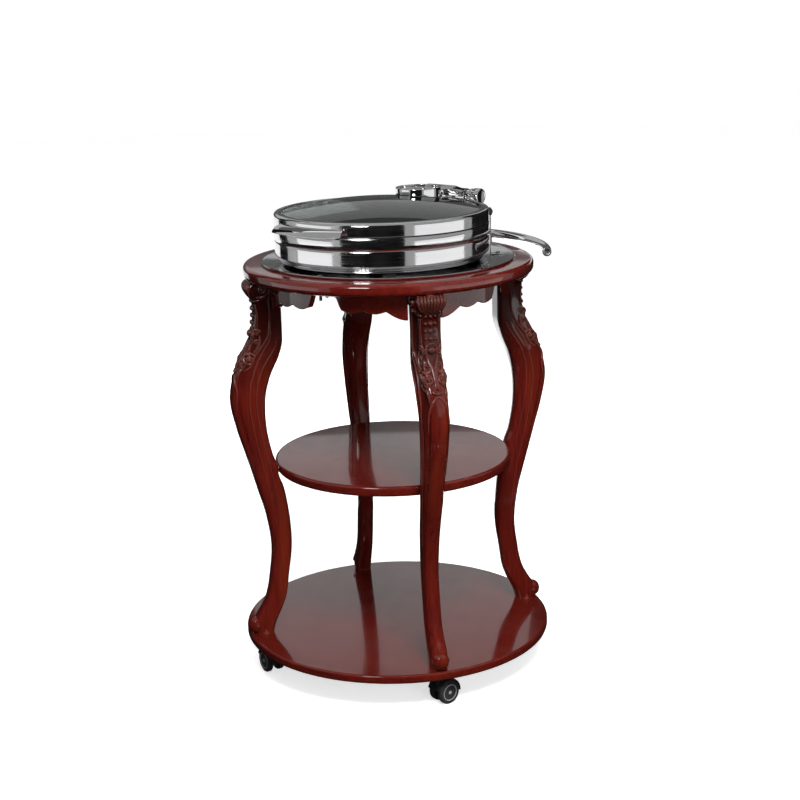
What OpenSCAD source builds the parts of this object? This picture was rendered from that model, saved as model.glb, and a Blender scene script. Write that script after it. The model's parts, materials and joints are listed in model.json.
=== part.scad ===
// Round food warmer cart.
// Three round boards stand on four cabriole legs and four twin-wheel casters.
// A round warmer with a hinged glass lid sits on a steel tray on the top board.
// Millimetres, +Z up, +Y to the back, where the push handle is. The floor is at z = 0.
// The frame's origin is under the middle of the cart's bounding box.

/* [Boards] */
// Diameter of the top board
top_d = 600; // [560:1:640]
// Thickness of the top board
top_t = 26; // [20:0.5:32]
// Edge rounding of the top board
top_edge = 10; // [2:0.5:12]
// Diameter of the middle shelf
shelf_d = 500; // [440:1:510]
// Thickness of the middle shelf
shelf_t = 21; // [18:0.5:26]
// Edge rounding of the middle shelf
shelf_edge = 6; // [1:0.5:9]
// Diameter of the base board
base_d = 654; // [630:1:670]
// Thickness of the base board
base_t = 18; // [14:0.5:25]
// Edge rounding of the base board
base_edge = 5; // [1:0.5:8]

/* [Heights] */
// Floor to the underside of the base board
caster_h = 65; // [62:0.5:80]
// Floor to the top of the middle shelf
shelf_h = 453; // [380:1:520]
// Floor to the top of the top board
top_h = 869; // [820:1:920]

/* [Legs] */
// Radius of the circle that the leg lines stand on
leg_r = 270; // [262:1:276]
// Radius of the scroll roll at the foot
roll_r = 19; // [14:0.5:22]
// Width of the scroll roll
roll_w = 30; // [22:1:34]
// How far the roll's axis stands out from the leg circle
roll_out = 42; // [36:1:44]
// Diameter of the leg screws' shank
leg_screw_d = 6.3; // [5:0.1:8]
// Length of the leg screws
leg_screw_l = 58; // [45:1:70]
// Radius at which the screws go down into the leg tops
top_screw_r = 250; // [244:1:256]
// Radius at which the screws go up into the feet
foot_screw_r = 288; // [284:1:291]
// Diameter of the shelf dowels
dowel_d = 10; // [6:0.5:12]
// Length of the shelf dowels
dowel_l = 48; // [30:1:56]

/* [Aprons] */
// Mid radius of the curved aprons
apron_r = 250; // [244:1:256]
// Thickness of the aprons
apron_t = 16; // [12:0.5:20]
// Depth of the apron beside a leg
apron_deep = 54; // [46:1:64]
// Depth of the apron over its scalloped part
apron_lobe = 33; // [26:1:40]
// Depth of the apron in the middle
apron_thin = 8; // [6:0.5:12]
// Bulge of each scallop
scallop = 6; // [0:0.5:9]
// Depth of the glue blocks behind the leg tops
block_h = 28; // [20:1:40]

/* [Tray] */
// Diameter of the steel tray
tray_d = 524; // [500:1:560]
// Thickness of the tray's sheet
tray_t = 2; // [1.5:0.1:3]
// Height of the tray's rim
tray_rim = 5; // [3:0.5:9]
// Radius of the circle of tray screws
tray_screw_r = 235; // [233:0.5:237]
// Turn of the tray screws from the middle of the aprons
tray_screw_turn = -5; // [-8:0.5:8]
// Diameter of the tray screws
tray_screw_d = 6; // [4:0.5:8]
// Length of the tray screws
tray_screw_l = 50; // [46:1:60]

/* [Warmer] */
// Outside diameter of the warmer
body_d = 442; // [436:1:446]
// Turn of the warmer from the cart's back
body_turn = -11.5; // [-20:0.5:20]
// How far the warmer stands to the right of the cart's middle
warmer_x = -9.5; // [-12:0.5:12]
// How far the warmer stands to the back of the cart's middle
warmer_y = -5.5; // [-8:0.5:8]
// Height of the rubber feet
foot_h = 3; // [2:0.5:6]
// Height of the lower shell
shell_h = 44; // [42:0.5:60]
// Height of the water pan's outer band
band_h = 26; // [23:0.5:32]
// Sheet thickness of the shell and the water pan
sheet = 1.5; // [1:0.1:2]
// Depth of the water pan
water_depth = 52; // [46:0.5:54]
// Width of the water pan's flat rim
rim_w = 18; // [16:0.5:20]
// Depth of the food pan
food_depth = 45; // [30:0.5:48]
// Sheet thickness of the food pan
food_t = 1.2; // [0.8:0.1:1.6]
// Radius of the heating plate
heat_r = 130; // [100:1:150]
// Gap under the food pan's flange
food_gap = 0.3; // [0.2:0.1:0.6]

/* [Lid] */
// Gap between the water pan's band and the lid ring
lid_gap = 2; // [1:0.1:3]
// Height of the lid ring
ring_h = 26; // [24:0.5:32]
// Wall of the lid ring
ring_wall = 2; // [1.5:0.1:2.5]
// Width of the lid ring, from outside to glass seat
ring_w = 11; // [10:0.5:12]
// Rise of the glass dome over its edge
dome_rise = 22; // [14:0.5:30]
// Thickness of the glass
glass_t = 4; // [3:0.1:6]
// Angle that the front lip spans
lip_angle = 44; // [24:1:56]
// How far the front lip stands out
lip_out = 24; // [16:0.5:30]
// Diameter of the round boss on the glass
boss_d = 95; // [80:1:104]
// Distance of the boss from the warmer's axis
boss_u = 119; // [112:1:124]
// Height of the boss over the glass dome's crown
boss_h = 11; // [9:0.5:14]
// Diameter of the boss bolt
boss_bolt_d = 10; // [8:0.5:12]

/* [Hinge] */
// Distance of the hinge axis from the warmer's side
hinge_off = 28; // [26:0.5:31]
// Height of the hinge axis over the lid ring's top
hinge_up = 1; // [0:0.5:3]
// Radius of the hinge's end barrels
barrel_r = 17; // [15:0.5:18]
// Half the length of the hinge
hinge_half = 67; // [64:0.5:74]
// Length of each end barrel
barrel_l = 17; // [14:0.5:20]
// Radius of the moving knuckle
knuckle_r = 15; // [13:0.5:15.5]
// Half the width of the moving knuckle
knuckle_half = 30; // [26:0.5:31]
// Radius of the hinge pin
pin_r = 5; // [4:0.1:6]
// Running clearance on the radius of pins and axles
run_fit = 0.05; // [0.02:0.01:0.08]
// Side clearance of the moving knuckle
side_fit = 0.2; // [0.1:0.05:0.4]

/* [Guides] */
// Turn of each side guide from the warmer's back
guide_turn = 47; // [40:1:60]
// Width of a side guide
guide_w = 16; // [12:1:20]
// Gap between a side guide and the warmer
guide_gap = 1.5; // [1:0.1:3]

/* [Push handle] */
// Distance from the top board's edge to the handle's centre line
handle_off = 27; // [25:1:32]
// Diameter of the handle's tube
handle_d = 19; // [16:0.5:22]
// Wall of the handle's tube
handle_wall = 1.5; // [1:0.1:2]
// Height of the handle's centre over the top board
handle_up = 11; // [10:0.5:20]
// Half the angle that the handle spans
handle_half = 67; // [50:1:75]
// Angle of each post from the cart's back
post_turn = 14; // [10:0.5:20]

/* [Casters] */
// Radius at which the casters swivel
caster_r = 291; // [286:1:296]
// Side of a caster's square plate
plate_w = 48; // [44:1:54]
// Thickness of a caster's plate
plate_t = 2.5; // [2:0.1:4]
// Radius of a wheel
wheel_r = 25; // [23:0.5:25]
// Width of one wheel
wheel_w = 11.5; // [8:0.5:15]
// Distance from the swivel axis to the wheel axle
trail = 17; // [14:0.5:20]
// Radius of the wheel axle
axle_r = 4; // [3:0.1:4.5]
// Radius of the swivel pin
kingpin_r = 4; // [3:0.1:5]

/* [Hidden] */
$fn = 96;

// Directions, counted from +X towards +Y
az_back_right = 45;
az_back_left = 135;
az_front_left = 225;
az_front_right = 315;
LEG_AZ = [az_front_left, az_front_right, az_back_left, az_back_right];
az_right = 0;
az_back = 90;
az_left = 180;
az_front = 270;

// Where each caster trails at rest, one for each leg
TRAIL_AZ = [-30, 68, -30, 68];

// Heights
base_top = caster_h + base_t;
top_under = top_h - top_t;
shelf_under = shelf_h - shelf_t;
leg_h = top_under - base_top;
tray_top = top_h + tray_t;
shell_z = tray_top + foot_h;
band_z = shell_z + shell_h;
rim_z = band_z + band_h;
water_z = rim_z - water_depth;
flange_z = rim_z + food_gap;
food_z = flange_z + food_t - food_depth;
ring_z = rim_z + lid_gap;
ring_top = ring_z + ring_h;
hinge_z = ring_top + hinge_up;
handle_z = top_h + handle_up;
handle_r = top_d / 2 + handle_off;

// Radii of the warmer and its lid
body_r = body_d / 2;
seat_r = body_r - ring_w;
hinge_u = body_r + hinge_off;
rim_r = body_r - rim_w;

// The glass is a shell of a sphere
glass_r = seat_r - 3;
glass_edge_z = ring_top - 1;
sphere_r = (glass_r * glass_r + dome_rise * dome_rise) / (2 * dome_rise);
crown_z = glass_edge_z + dome_rise;
sphere_z = crown_z - sphere_r;
boss_top = crown_z + boss_h;

// The boss stands this much lower at its own place on the dome
boss_drop = sphere_r - sqrt(sphere_r * sphere_r - boss_u * boss_u);

// Half the bounding box lies behind the axis and half in front of it
handle_reach = handle_r + handle_d / 2;
axis_y = -(handle_reach - base_d / 2) / 2;

// Head of the leg screws
leg_screw_head = leg_screw_d + 4;

// A small overlap that keeps cuts clean
bit = 0.1;

// Colours
MAHOGANY = [0.34, 0.07, 0.06];
DARK_WOOD = [0.24, 0.05, 0.04];
CHROME = [0.80, 0.81, 0.82];
STEEL = [0.62, 0.63, 0.64];
BLACK = [0.09, 0.09, 0.10];
RUBBER = [0.16, 0.16, 0.16];
GLASS = [0.45, 0.50, 0.48, 0.45];
ALLOY = [0.70, 0.71, 0.72];

// Points along an arc from angle a0 to a1
function arc(cx, cy, r, a0, a1, n = 6) =
    [for (i = [0:n]) let (a = a0 + (a1 - a0) * i / n) [cx + r * cos(a), cy + r * sin(a)]];

// Moves the cart's axis so that the origin is under the middle of the bounding box
module on_axis() {
    translate([0, axis_y, 0]) children();
}

// Turns and moves a child out to a place on a circle
module polar(r, a) {
    rotate([0, 0, a]) translate([r, 0, 0]) children();
}

// The warmer's own frame: +Y to the hinge
module warmer() {
    on_axis() translate([warmer_x, warmer_y, 0]) rotate([0, 0, body_turn]) children();
}

// A round board with rounded edges, standing on z
module board(d, t, edge, z) {
    r = d / 2;
    translate([0, 0, z])
    rotate_extrude()
    polygon(concat(
        [[0, 0]],
        arc(r - edge, edge, edge, -90, 0),
        arc(r - edge, t - edge, edge, 0, 90),
        [[0, t]]
    ));
}

// A screw that points down from z = 0, with a countersunk head
module countersunk(d, l, head_d) {
    cone = (head_d - d) / 2;
    translate([0, 0, -l]) cylinder(d = d, h = l);
    translate([0, 0, -cone]) cylinder(d1 = d, d2 = head_d, h = cone);
}

// The legs
// Each row is a height as a share of the leg's length, then the inner face, the outer face
// and the width there, with both faces counted from the leg circle.
LEG_SHAPE = [
    [0.000,  10,  34, 35],
    [0.025,   6,  36, 36],
    [0.060,  -8,  30, 35],
    [0.105, -22,  18, 34],
    [0.165, -30,   9, 33],
    [0.250, -40,   2, 33],
    [0.340, -38,  10, 35],
    [0.420, -29,  26, 38],
    [0.460, -19.6, 34, 40],
    [0.480, -19.6, 38, 41],
    [0.520,  -9,  47, 44],
    [0.600,   1,  64, 50],
    [0.680,   0,  74, 54],
    [0.745, -12,  64, 57],
    [0.790, -27,  48, 58],
    [0.830, -36,  30, 57],
    [0.865, -37,  23, 55],
    [0.900, -37,  20, 55],
    [0.945, -37,  22, 57],
    [0.975, -38,  32, 60],
    [1.000, -38,  39, 62]
];

// Smooth value of column c of the leg table at share t
function leg_row(t) =
    max([for (i = [0:len(LEG_SHAPE) - 2]) LEG_SHAPE[i][0] <= t ? i : 0]);
function leg_slope(i, c) =
    let (a = max(i - 1, 0), b = min(i + 1, len(LEG_SHAPE) - 1))
    (LEG_SHAPE[b][c] - LEG_SHAPE[a][c]) / (LEG_SHAPE[b][0] - LEG_SHAPE[a][0]);
function leg_value(t, c) =
    let (
        i = leg_row(t),
        h = LEG_SHAPE[i + 1][0] - LEG_SHAPE[i][0],
        s = (t - LEG_SHAPE[i][0]) / h,
        p0 = LEG_SHAPE[i][c],
        p1 = LEG_SHAPE[i + 1][c],
        m0 = leg_slope(i, c) * h,
        m1 = leg_slope(i + 1, c) * h
    )
    (2*s*s*s - 3*s*s + 1) * p0 + (s*s*s - 2*s*s + s) * m0
    + (-2*s*s*s + 3*s*s) * p1 + (s*s*s - s*s) * m1;

leg_rings = 40;
leg_sides = 16;

// Squareness of the leg's section: 1 is an ellipse, smaller is squarer
leg_square = 0.72;
function signed_power(v, e) = sign(v) * pow(abs(v), e);

// Coves along the front half of a leg's post: share of the width that they take,
// and the heights, as shares of the leg, where they start and end
leg_cove = 0.3;
COVE_RISE = [0.655, 0.75];
COVE_END = [0.946, 0.964];
function ease(v, range) =
    let (s = min(max((v - range[0]) / (range[1] - range[0]), 0), 1))
    s * s * (3 - 2 * s);
// Width left at share t for u, which runs from -1 inside to 1 outside
function cove(t, u) =
    let (s = min(max((u + 0.05) / 0.85, 0), 1))
    1 - leg_cove * ease(t, COVE_RISE) * (1 - ease(t, COVE_END)) * (1 - pow(1 - s, 2));
function leg_ring(t) =
    let (
        inner = leg_value(t, 1),
        outer = leg_value(t, 2),
        half_w = leg_value(t, 3) / 2,
        mid = leg_r + (inner + outer) / 2,
        half_d = (outer - inner) / 2
    )
    [for (k = [0:leg_sides - 1]) let (
        a = 360 * k / leg_sides,
        u = signed_power(cos(a), leg_square)
    ) [
        mid + half_d * u,
        half_w * signed_power(sin(a), leg_square) * cove(t, u),
        base_top + t * leg_h
    ]];
LEG_POINTS = [for (i = [0:leg_rings]) each leg_ring(i / leg_rings)];
LEG_FACES = concat(
    [for (i = [0:leg_rings - 1]) for (k = [0:leg_sides - 1]) let (
        a = i * leg_sides + k,
        b = i * leg_sides + (k + 1) % leg_sides
    ) each [[a, a + leg_sides, b], [b, a + leg_sides, b + leg_sides]]],
    [[for (k = [0:leg_sides - 1]) k]],
    [[for (k = [leg_sides - 1:-1:0]) leg_rings * leg_sides + k]]
);

// The scroll at a foot: a roll with domed sides, its axis along the rim of the board
module foot_roll() {
    dome = 3;
    translate([leg_r + roll_out, 0, base_top + roll_r])
    rotate([90, 0, 0])
    rotate_extrude()
    polygon([
        [0, -roll_w / 2],
        [roll_r - 2 * dome, -roll_w / 2],
        [roll_r, -roll_w / 2 + dome],
        [roll_r, roll_w / 2 - dome],
        [roll_r - 2 * dome, roll_w / 2],
        [0, roll_w / 2]
    ]);
}

module leg(az) {
    color(MAHOGANY)
    on_axis() rotate([0, 0, az])
    difference() {
        union() {
            polyhedron(points = LEG_POINTS, faces = LEG_FACES, convexity = 6);
            foot_roll();
        }
        translate([top_screw_r, 0, top_h - leg_screw_l])
            cylinder(d = leg_screw_d, h = leg_screw_l);
        translate([foot_screw_r, 0, caster_h])
            cylinder(d = leg_screw_d, h = leg_screw_l);
        translate([shelf_d / 2 - dowel_l / 2, 0, shelf_h - shelf_t / 2])
            rotate([0, 90, 0])
            cylinder(d = dowel_d, h = dowel_l);
    }
}

module leg_front_left() { leg(az_front_left); }
module leg_front_right() { leg(az_front_right); }
module leg_back_left() { leg(az_back_left); }
module leg_back_right() { leg(az_back_right); }

module leg_screws() {
    color(STEEL)
    on_axis()
    for (az = LEG_AZ) {
        polar(top_screw_r, az) translate([0, 0, top_h])
            countersunk(leg_screw_d, leg_screw_l, leg_screw_head);
        polar(foot_screw_r, az) translate([0, 0, caster_h]) mirror([0, 0, 1])
            countersunk(leg_screw_d, leg_screw_l, leg_screw_head);
    }
}

module shelf_dowels() {
    color("burlywood")
    on_axis()
    for (az = LEG_AZ)
        polar(shelf_d / 2 - dowel_l / 2, az)
        translate([0, 0, shelf_h - shelf_t / 2])
        rotate([0, 90, 0])
        cylinder(d = dowel_d, h = dowel_l);
}

// The boards
module top_board() {
    color(MAHOGANY)
    difference() {
        on_axis() board(top_d, top_t, top_edge, top_under);
        leg_screws();
        tray_screws();
        on_axis() post_places() post_screws();
        warmer() guide_screws();
    }
}

module shelf_board() {
    color(MAHOGANY)
    difference() {
        on_axis() board(shelf_d, shelf_t, shelf_edge, shelf_under);
        shelf_dowels();
    }
}

module base_board() {
    color(MAHOGANY)
    difference() {
        on_axis() board(base_d, base_t, base_edge, caster_h);
        leg_screws();
        on_axis()
        for (az = LEG_AZ)
            polar(caster_r, az) plate_screws();
    }
}

// The aprons
// Angle from the middle of an apron to its end beside the leg
apron_end = 45 - asin((LEG_SHAPE[20][3] / 2 + 0.5) / (apron_r - apron_t / 2));
apron_step = 1.6;
thin_half = 6;
lobe_half = 8;
lobe_next = 18;
ear_from = 28;

// Depth of the apron at an angle from its middle
function apron_depth(angle) =
    let (a = abs(angle))
    a < thin_half ? apron_thin
    : a < lobe_half ? apron_thin
        + (apron_lobe - apron_thin) * (a - thin_half) / (lobe_half - thin_half)
    : a < lobe_next ? apron_lobe
        + scallop * sin(180 * (a - lobe_half) / (lobe_next - lobe_half))
    : a < ear_from ? apron_lobe
        + scallop * sin(180 * (a - lobe_next) / (ear_from - lobe_next)) + (a - lobe_next) / 4
    : apron_lobe + (ear_from - lobe_next) / 4
        + (apron_deep - apron_lobe - (ear_from - lobe_next) / 4)
        * sin(90 * (a - ear_from) / (apron_end - ear_from));

module apron(az) {
    n = 2 * ceil(apron_end / apron_step);
    low = apron_r - apron_t / 2;
    high = apron_r + apron_t / 2;
    points = [for (i = [0:n]) let (
        a = -apron_end + 2 * apron_end * i / n,
        z = top_under - apron_depth(a)
    ) each [
        [low * cos(a), low * sin(a), z],
        [high * cos(a), high * sin(a), z],
        [high * cos(a), high * sin(a), top_under],
        [low * cos(a), low * sin(a), top_under]
    ]];
    faces = concat(
        [for (i = [0:n - 1]) for (k = [0:3]) let (
            a = 4 * i + k,
            b = 4 * i + (k + 1) % 4
        ) each [[a, a + 4, b], [b, a + 4, b + 4]]],
        [[0, 1, 2, 3]],
        [[4 * n + 3, 4 * n + 2, 4 * n + 1, 4 * n]]
    );
    color(DARK_WOOD)
    on_axis() rotate([0, 0, az])
    polyhedron(points = points, faces = faces, convexity = 6);
}

module apron_front() { apron(az_front); }
module apron_back() { apron(az_back); }
module apron_left() { apron(az_left); }
module apron_right() { apron(az_right); }

// Glue blocks behind the leg tops, under the top board
module corner_blocks() {
    block_t = 16;
    block_w = 80;
    face = leg_r + LEG_SHAPE[20][1];
    color(DARK_WOOD)
    on_axis()
    for (az = LEG_AZ)
        rotate([0, 0, az])
        translate([face - block_t, -block_w / 2, top_under - block_h])
        cube([block_t, block_w, block_h]);
}

// The tray and its screws
module drip_tray() {
    r = tray_d / 2;
    color(CHROME)
    difference() {
        on_axis()
        translate([0, 0, top_h])
        rotate_extrude()
        polygon(concat(
            [[0, 0], [r - tray_rim, 0]],
            arc(r - tray_rim, tray_rim, tray_rim, -90, 0),
            [[r - tray_t, tray_rim]],
            arc(r - tray_rim, tray_rim, tray_rim - tray_t, 0, -90),
            [[0, tray_t]]
        ));
        tray_screws();
        warmer() guide_screws();
    }
}

module tray_screw_places() {
    for (i = [0:3])
        polar(tray_screw_r, 90 * i + tray_screw_turn)
        translate([0, 0, tray_top])
        children();
}

module tray_screws() {
    color(STEEL)
    on_axis() tray_screw_places()
        countersunk(tray_screw_d, tray_screw_l, 2 * tray_screw_d);
}

// Wing nuts under the top board that hold the tray down
module tray_wing_nuts() {
    nut_r = tray_screw_d;
    nut_h = 10;
    wing = 17;
    wing_t = 3;
    color(STEEL)
    on_axis()
    for (i = [0:3])
        polar(tray_screw_r, 90 * i + tray_screw_turn)
        translate([0, 0, top_under - nut_h])
        difference() {
            union() {
                cylinder(r = nut_r, h = nut_h);
                for (side = [-1, 1])
                    translate([-wing_t / 2, 0, 0])
                    rotate([90, 0, 90])
                    linear_extrude(wing_t)
                    polygon([[0, 2], [side * wing, -6], [side * (wing + 2), 0], [0, nut_h - 1]]);
            }
            translate([0, 0, -nut_h]) cylinder(d = tray_screw_d, h = 3 * nut_h);
        }
}

// The warmer's lower shell: it steps in over the tray
module warmer_shell() {
    r = body_r;
    step = r - 10;
    mid = r - 6.5;
    flange = r - 5;
    lip_h = 6;
    color(CHROME)
    warmer()
    difference() {
        translate([0, 0, shell_z])
        rotate_extrude()
        polygon([
            [0, 0], [step, 0], [step, 3.5], [mid, 5], [mid, 7], [r - 1.5, 11], [r, 15],
            [r, shell_h], [r - sheet - lip_fit, shell_h],
            [r - sheet - lip_fit, shell_h + lip_h],
            [r - 2 * sheet - lip_fit, shell_h + lip_h],
            [r - 2 * sheet - lip_fit, shell_h - sheet],
            [r - sheet, shell_h - sheet], [r - sheet, 15.3], [r - 2.7, 12.1],
            [mid - sheet, 8], [mid - sheet, 6.1], [step - sheet, 4.6],
            [step - sheet, sheet], [0, sheet]
        ]);
        hinge_screws();
        rotate([0, 0, inlet_turn])
            translate([-inlet_w / 2, body_r - 20, inlet_z])
            cube([inlet_w, 40, inlet_h]);
    }
}
lip_fit = 0.5;

module warmer_feet() {
    color(RUBBER)
    warmer()
    for (i = [0:3])
        polar(body_r - 31, 45 + 90 * i)
        translate([0, 0, tray_top])
        cylinder(r = 12, h = foot_h);
}

// Inside the shell
insulation_t = 4.5;
element_r = 3;
shell_floor = shell_z + sheet;
plate_z = shell_floor + insulation_t + 2 * element_r;

module insulation_disc() {
    color("wheat")
    warmer()
    translate([0, 0, shell_floor])
    cylinder(r = heat_r + 20, h = insulation_t);
}

module heating_element() {
    ring = 0.7 * heat_r;
    color(STEEL)
    warmer()
    translate([0, 0, shell_floor + insulation_t + element_r])
    for (r = [ring, ring / 2])
        rotate([0, 0, 100])
        rotate_extrude(angle = 340)
        translate([r, 0])
        circle(r = element_r);
}

module heating_plate() {
    color(ALLOY)
    warmer()
    translate([0, 0, plate_z])
    cylinder(r = heat_r, h = water_z - plate_z);
}

module thermostat() {
    color(BLACK)
    warmer()
    rotate([0, 0, 40])
    translate([-15, heat_r + 25, shell_floor])
    cube([30, 22, 13]);
}

// Power inlet in the back of the shell
inlet_turn = 90 - body_turn;
inlet_w = 28;
inlet_h = 20;
inlet_z = shell_z + 18;
inlet_deep = 19;
inlet_wall = 2;
inlet_flange = 3;

module power_inlet() {
    out = body_r + 2.5;
    color(BLACK)
    warmer()
    rotate([0, 0, inlet_turn])
    difference() {
        union() {
            translate([-inlet_w / 2, out - inlet_deep, inlet_z])
                cube([inlet_w, inlet_deep, inlet_h]);
            difference() {
                translate([-inlet_w / 2 - inlet_flange, body_r - 4, inlet_z - inlet_flange])
                    cube([inlet_w + 2 * inlet_flange, out - body_r + 4, inlet_h + 2 * inlet_flange]);
                translate([0, 0, inlet_z - inlet_flange - 1])
                    cylinder(r = body_r, h = inlet_h + 2 * inlet_flange + 2);
            }
        }
        translate([-inlet_w / 2 + inlet_wall, out - inlet_deep + inlet_wall, inlet_z + inlet_wall])
            cube([inlet_w - 2 * inlet_wall, inlet_deep, inlet_h - 2 * inlet_wall]);
    }
}

// The water pan hangs its band over the shell's lip
module water_pan() {
    r = body_r;
    round = 8;
    color(CHROME)
    warmer()
    rotate_extrude()
    polygon(concat(
        [[0, water_z], [rim_r - round, water_z]],
        arc(rim_r - round, water_z + round, round, -90, 0),
        [[rim_r, rim_z - sheet], [r - sheet, rim_z - sheet], [r - sheet, band_z],
        [r, band_z], [r, rim_z], [rim_r - sheet, rim_z]],
        arc(rim_r - round, water_z + round, round - sheet, 0, -90),
        [[0, water_z + sheet]]
    ));
}

// The food pan lifts out of the water pan
module food_pan() {
    wall_r = rim_r - sheet - 3;
    edge_r = seat_r - 1;
    round = 10;
    color(STEEL)
    warmer()
    rotate_extrude()
    polygon(concat(
        [[0, food_z], [wall_r - round, food_z]],
        arc(wall_r - round, food_z + round, round, -90, 0),
        [[wall_r, flange_z], [edge_r, flange_z]],
        [[edge_r, flange_z + food_t], [wall_r - food_t, flange_z + food_t]],
        arc(wall_r - round, food_z + round, round - food_t, 0, -90),
        [[0, food_z + food_t]]
    ));
}

// The lid ring: a channel, open below, with a seat for the glass
seat_z = ring_top - 7;
module lid_ring() {
    r = body_r;
    w = ring_wall;
    curl = 6;
    color(CHROME)
    warmer()
    rotate_extrude()
    polygon(concat(
        [[r, ring_z]],
        arc(r - curl, ring_top - curl, curl, 0, 90),
        [[seat_r, ring_top], [seat_r, seat_z], [seat_r - 4, seat_z], [seat_r - 4, seat_z - w],
        [seat_r, seat_z - w], [seat_r, ring_z + 9], [seat_r + w, ring_z + 9],
        [seat_r + w, ring_top - w]],
        arc(r - curl, ring_top - curl, curl - w, 90, 0),
        [[r - w, ring_z]]
    ));
}

// Profile of the glass, as an arc of a sphere with a flat edge
function dome_point(r, depth) = [r, sphere_z + sqrt(pow(sphere_r - depth, 2) - r * r)];
dome_steps = 12;

// The solid from z = low up to a dome that lies this deep under the outer face
module under_dome(depth, low) {
    rotate_extrude()
    polygon(concat(
        [[0, low]],
        [for (i = [0:dome_steps]) dome_point(glass_r * i / dome_steps, depth)],
        [[glass_r, low]]
    ));
}
module lid_glass() {
    color(GLASS)
    warmer()
    difference() {
        rotate_extrude()
        polygon(concat(
            [for (i = [0:dome_steps]) dome_point(glass_r * i / dome_steps, 0)],
            [for (i = [dome_steps:-1:0]) dome_point(glass_r * i / dome_steps, glass_t)]
        ));
        translate([0, boss_u, crown_z - dome_rise])
            cylinder(d = boss_bolt_d, h = 2 * dome_rise);
    }
}

// Rubber channel round the glass
module glass_seal() {
    low = dome_point(glass_r, glass_t);
    high = dome_point(glass_r, 0);
    lap = 2.5;
    share = lap * dome_steps / glass_r;
    before = glass_r * (dome_steps - 1) / dome_steps;
    inner_high = high + share * (dome_point(before, 0) - high);
    inner_low = low + share * (dome_point(before, glass_t) - low);
    color(RUBBER)
    warmer()
    rotate_extrude()
    polygon([
        low, high, inner_high, inner_high + [0, 1], [seat_r, high[1] + 0.8],
        [seat_r, seat_z], [inner_low[0], seat_z], inner_low
    ]);
}

module lid_gasket() {
    inner = seat_r + ring_wall;
    color(RUBBER)
    warmer()
    rotate_extrude()
    polygon([
        [inner, rim_z + 0.3], [inner + 4.5, rim_z + 0.3], [inner + 4.5, ring_z + 12],
        [inner, ring_z + 12]
    ]);
}

// The lip at the front of the lid, where a hand lifts it
module lid_lip() {
    r = body_r;
    top = ring_z + 15;
    t = 3.5;
    color(CHROME)
    warmer()
    rotate([0, 0, az_front - lip_angle / 2])
    rotate_extrude(angle = lip_angle)
    polygon([
        [r, top - t], [r, top], [r + 0.3 * lip_out, top - 1], [r + 0.8 * lip_out, top - 7.5],
        [r + lip_out, top - 14], [r + lip_out, top - 16.5], [r + 0.87 * lip_out, top - 15.5],
        [r + 0.68 * lip_out, top - 9.5], [r + 0.26 * lip_out, top - t - 1]
    ]);
}

// The round boss that carries the glass
boss_wall = 3;
boss_seal = 1;
boss_floor = boss_top - 7;
module lid_boss() {
    r = boss_d / 2;
    foot = crown_z - dome_rise;
    color(CHROME)
    warmer()
    difference() {
        translate([0, boss_u, 0])
        rotate_extrude()
        polygon(concat(
            [[boss_bolt_d / 2, foot], [r, foot]],
            arc(r - 2, boss_top - 2, 2, 0, 90),
            arc(r - boss_wall + 0.5, boss_top - 0.5, 0.5, 90, 180),
            [[r - boss_wall, boss_floor], [boss_bolt_d / 2, boss_floor]]
        ));
        under_dome(-boss_seal, foot - 5);
    }
}

// One bolt clamps the boss to the glass, with its nut below
module boss_bolt() {
    r = boss_bolt_d / 2;
    nut_z = crown_z - boss_drop - glass_t - 8.5;
    color(STEEL)
    warmer()
    translate([0, boss_u, 0]) {
        translate([0, 0, nut_z]) cylinder(r = r, h = boss_floor - nut_z);
        translate([0, 0, boss_floor]) cylinder(r = 2 * r, h = 3.5);
        translate([0, 0, nut_z]) cylinder(r = 2.2 * r, h = 5);
    }
}

// Rubber discs over and under the glass at the boss
module boss_seals() {
    low = crown_z - dome_rise - 2 * glass_t;
    color(RUBBER)
    warmer()
    difference() {
        union() {
            difference() {
                intersection() {
                    under_dome(-boss_seal, low);
                    translate([0, boss_u, low]) cylinder(r = boss_d / 2 - 0.5, h = 60);
                }
                under_dome(0, low - 1);
            }
            intersection() {
                under_dome(glass_t, low);
                translate([0, boss_u, crown_z - boss_drop - glass_t - 3.5])
                    cylinder(d = 3 * boss_bolt_d, h = 10);
            }
        }
        translate([0, boss_u, low - 1]) cylinder(d = boss_bolt_d, h = 60);
    }
}

// The arm from the boss to the hinge's moving knuckle
module lid_arm() {
    u0 = boss_u + boss_d / 2;
    top0 = boss_top - 1;
    color(CHROME)
    warmer()
    difference() {
        union() {
            intersection() {
                translate([-knuckle_half, 0, 0])
                rotate([90, 0, 90])
                linear_extrude(2 * knuckle_half)
                polygon([
                    [u0 - 25, top0], [u0 + 20, top0 - 1], [u0 + 45, top0 - 5],
                    [hinge_u - 17, hinge_z + knuckle_r + 2.5], [hinge_u, hinge_z + knuckle_r],
                    [hinge_u, hinge_z], [hinge_u - 14, hinge_z + 1], [hinge_u - 27, hinge_z + 2],
                    [u0 + 42, hinge_z + 12], [u0 + 20, top0 - 10], [u0 - 25, top0 - 8]
                ]);
                linear_extrude(boss_top + 50)
                polygon([
                    [-24, u0 - 25], [24, u0 - 25], [knuckle_half, hinge_u - 25],
                    [knuckle_half, hinge_u + 5], [-knuckle_half, hinge_u + 5],
                    [-knuckle_half, hinge_u - 25]
                ]);
            }
            on_hinge(-knuckle_half, knuckle_half, knuckle_r);
        }
        translate([0, boss_u, hinge_z - 50]) cylinder(d = boss_d, h = 150);
        on_hinge(-knuckle_half - 1, knuckle_half + 1, pin_r + run_fit);
    }
}

// A cylinder on the hinge axis from s0 to s1
module on_hinge(s0, s1, r) {
    translate([s0, hinge_u, hinge_z])
    rotate([0, 90, 0])
    cylinder(r = r, h = s1 - s0);
}

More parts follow.
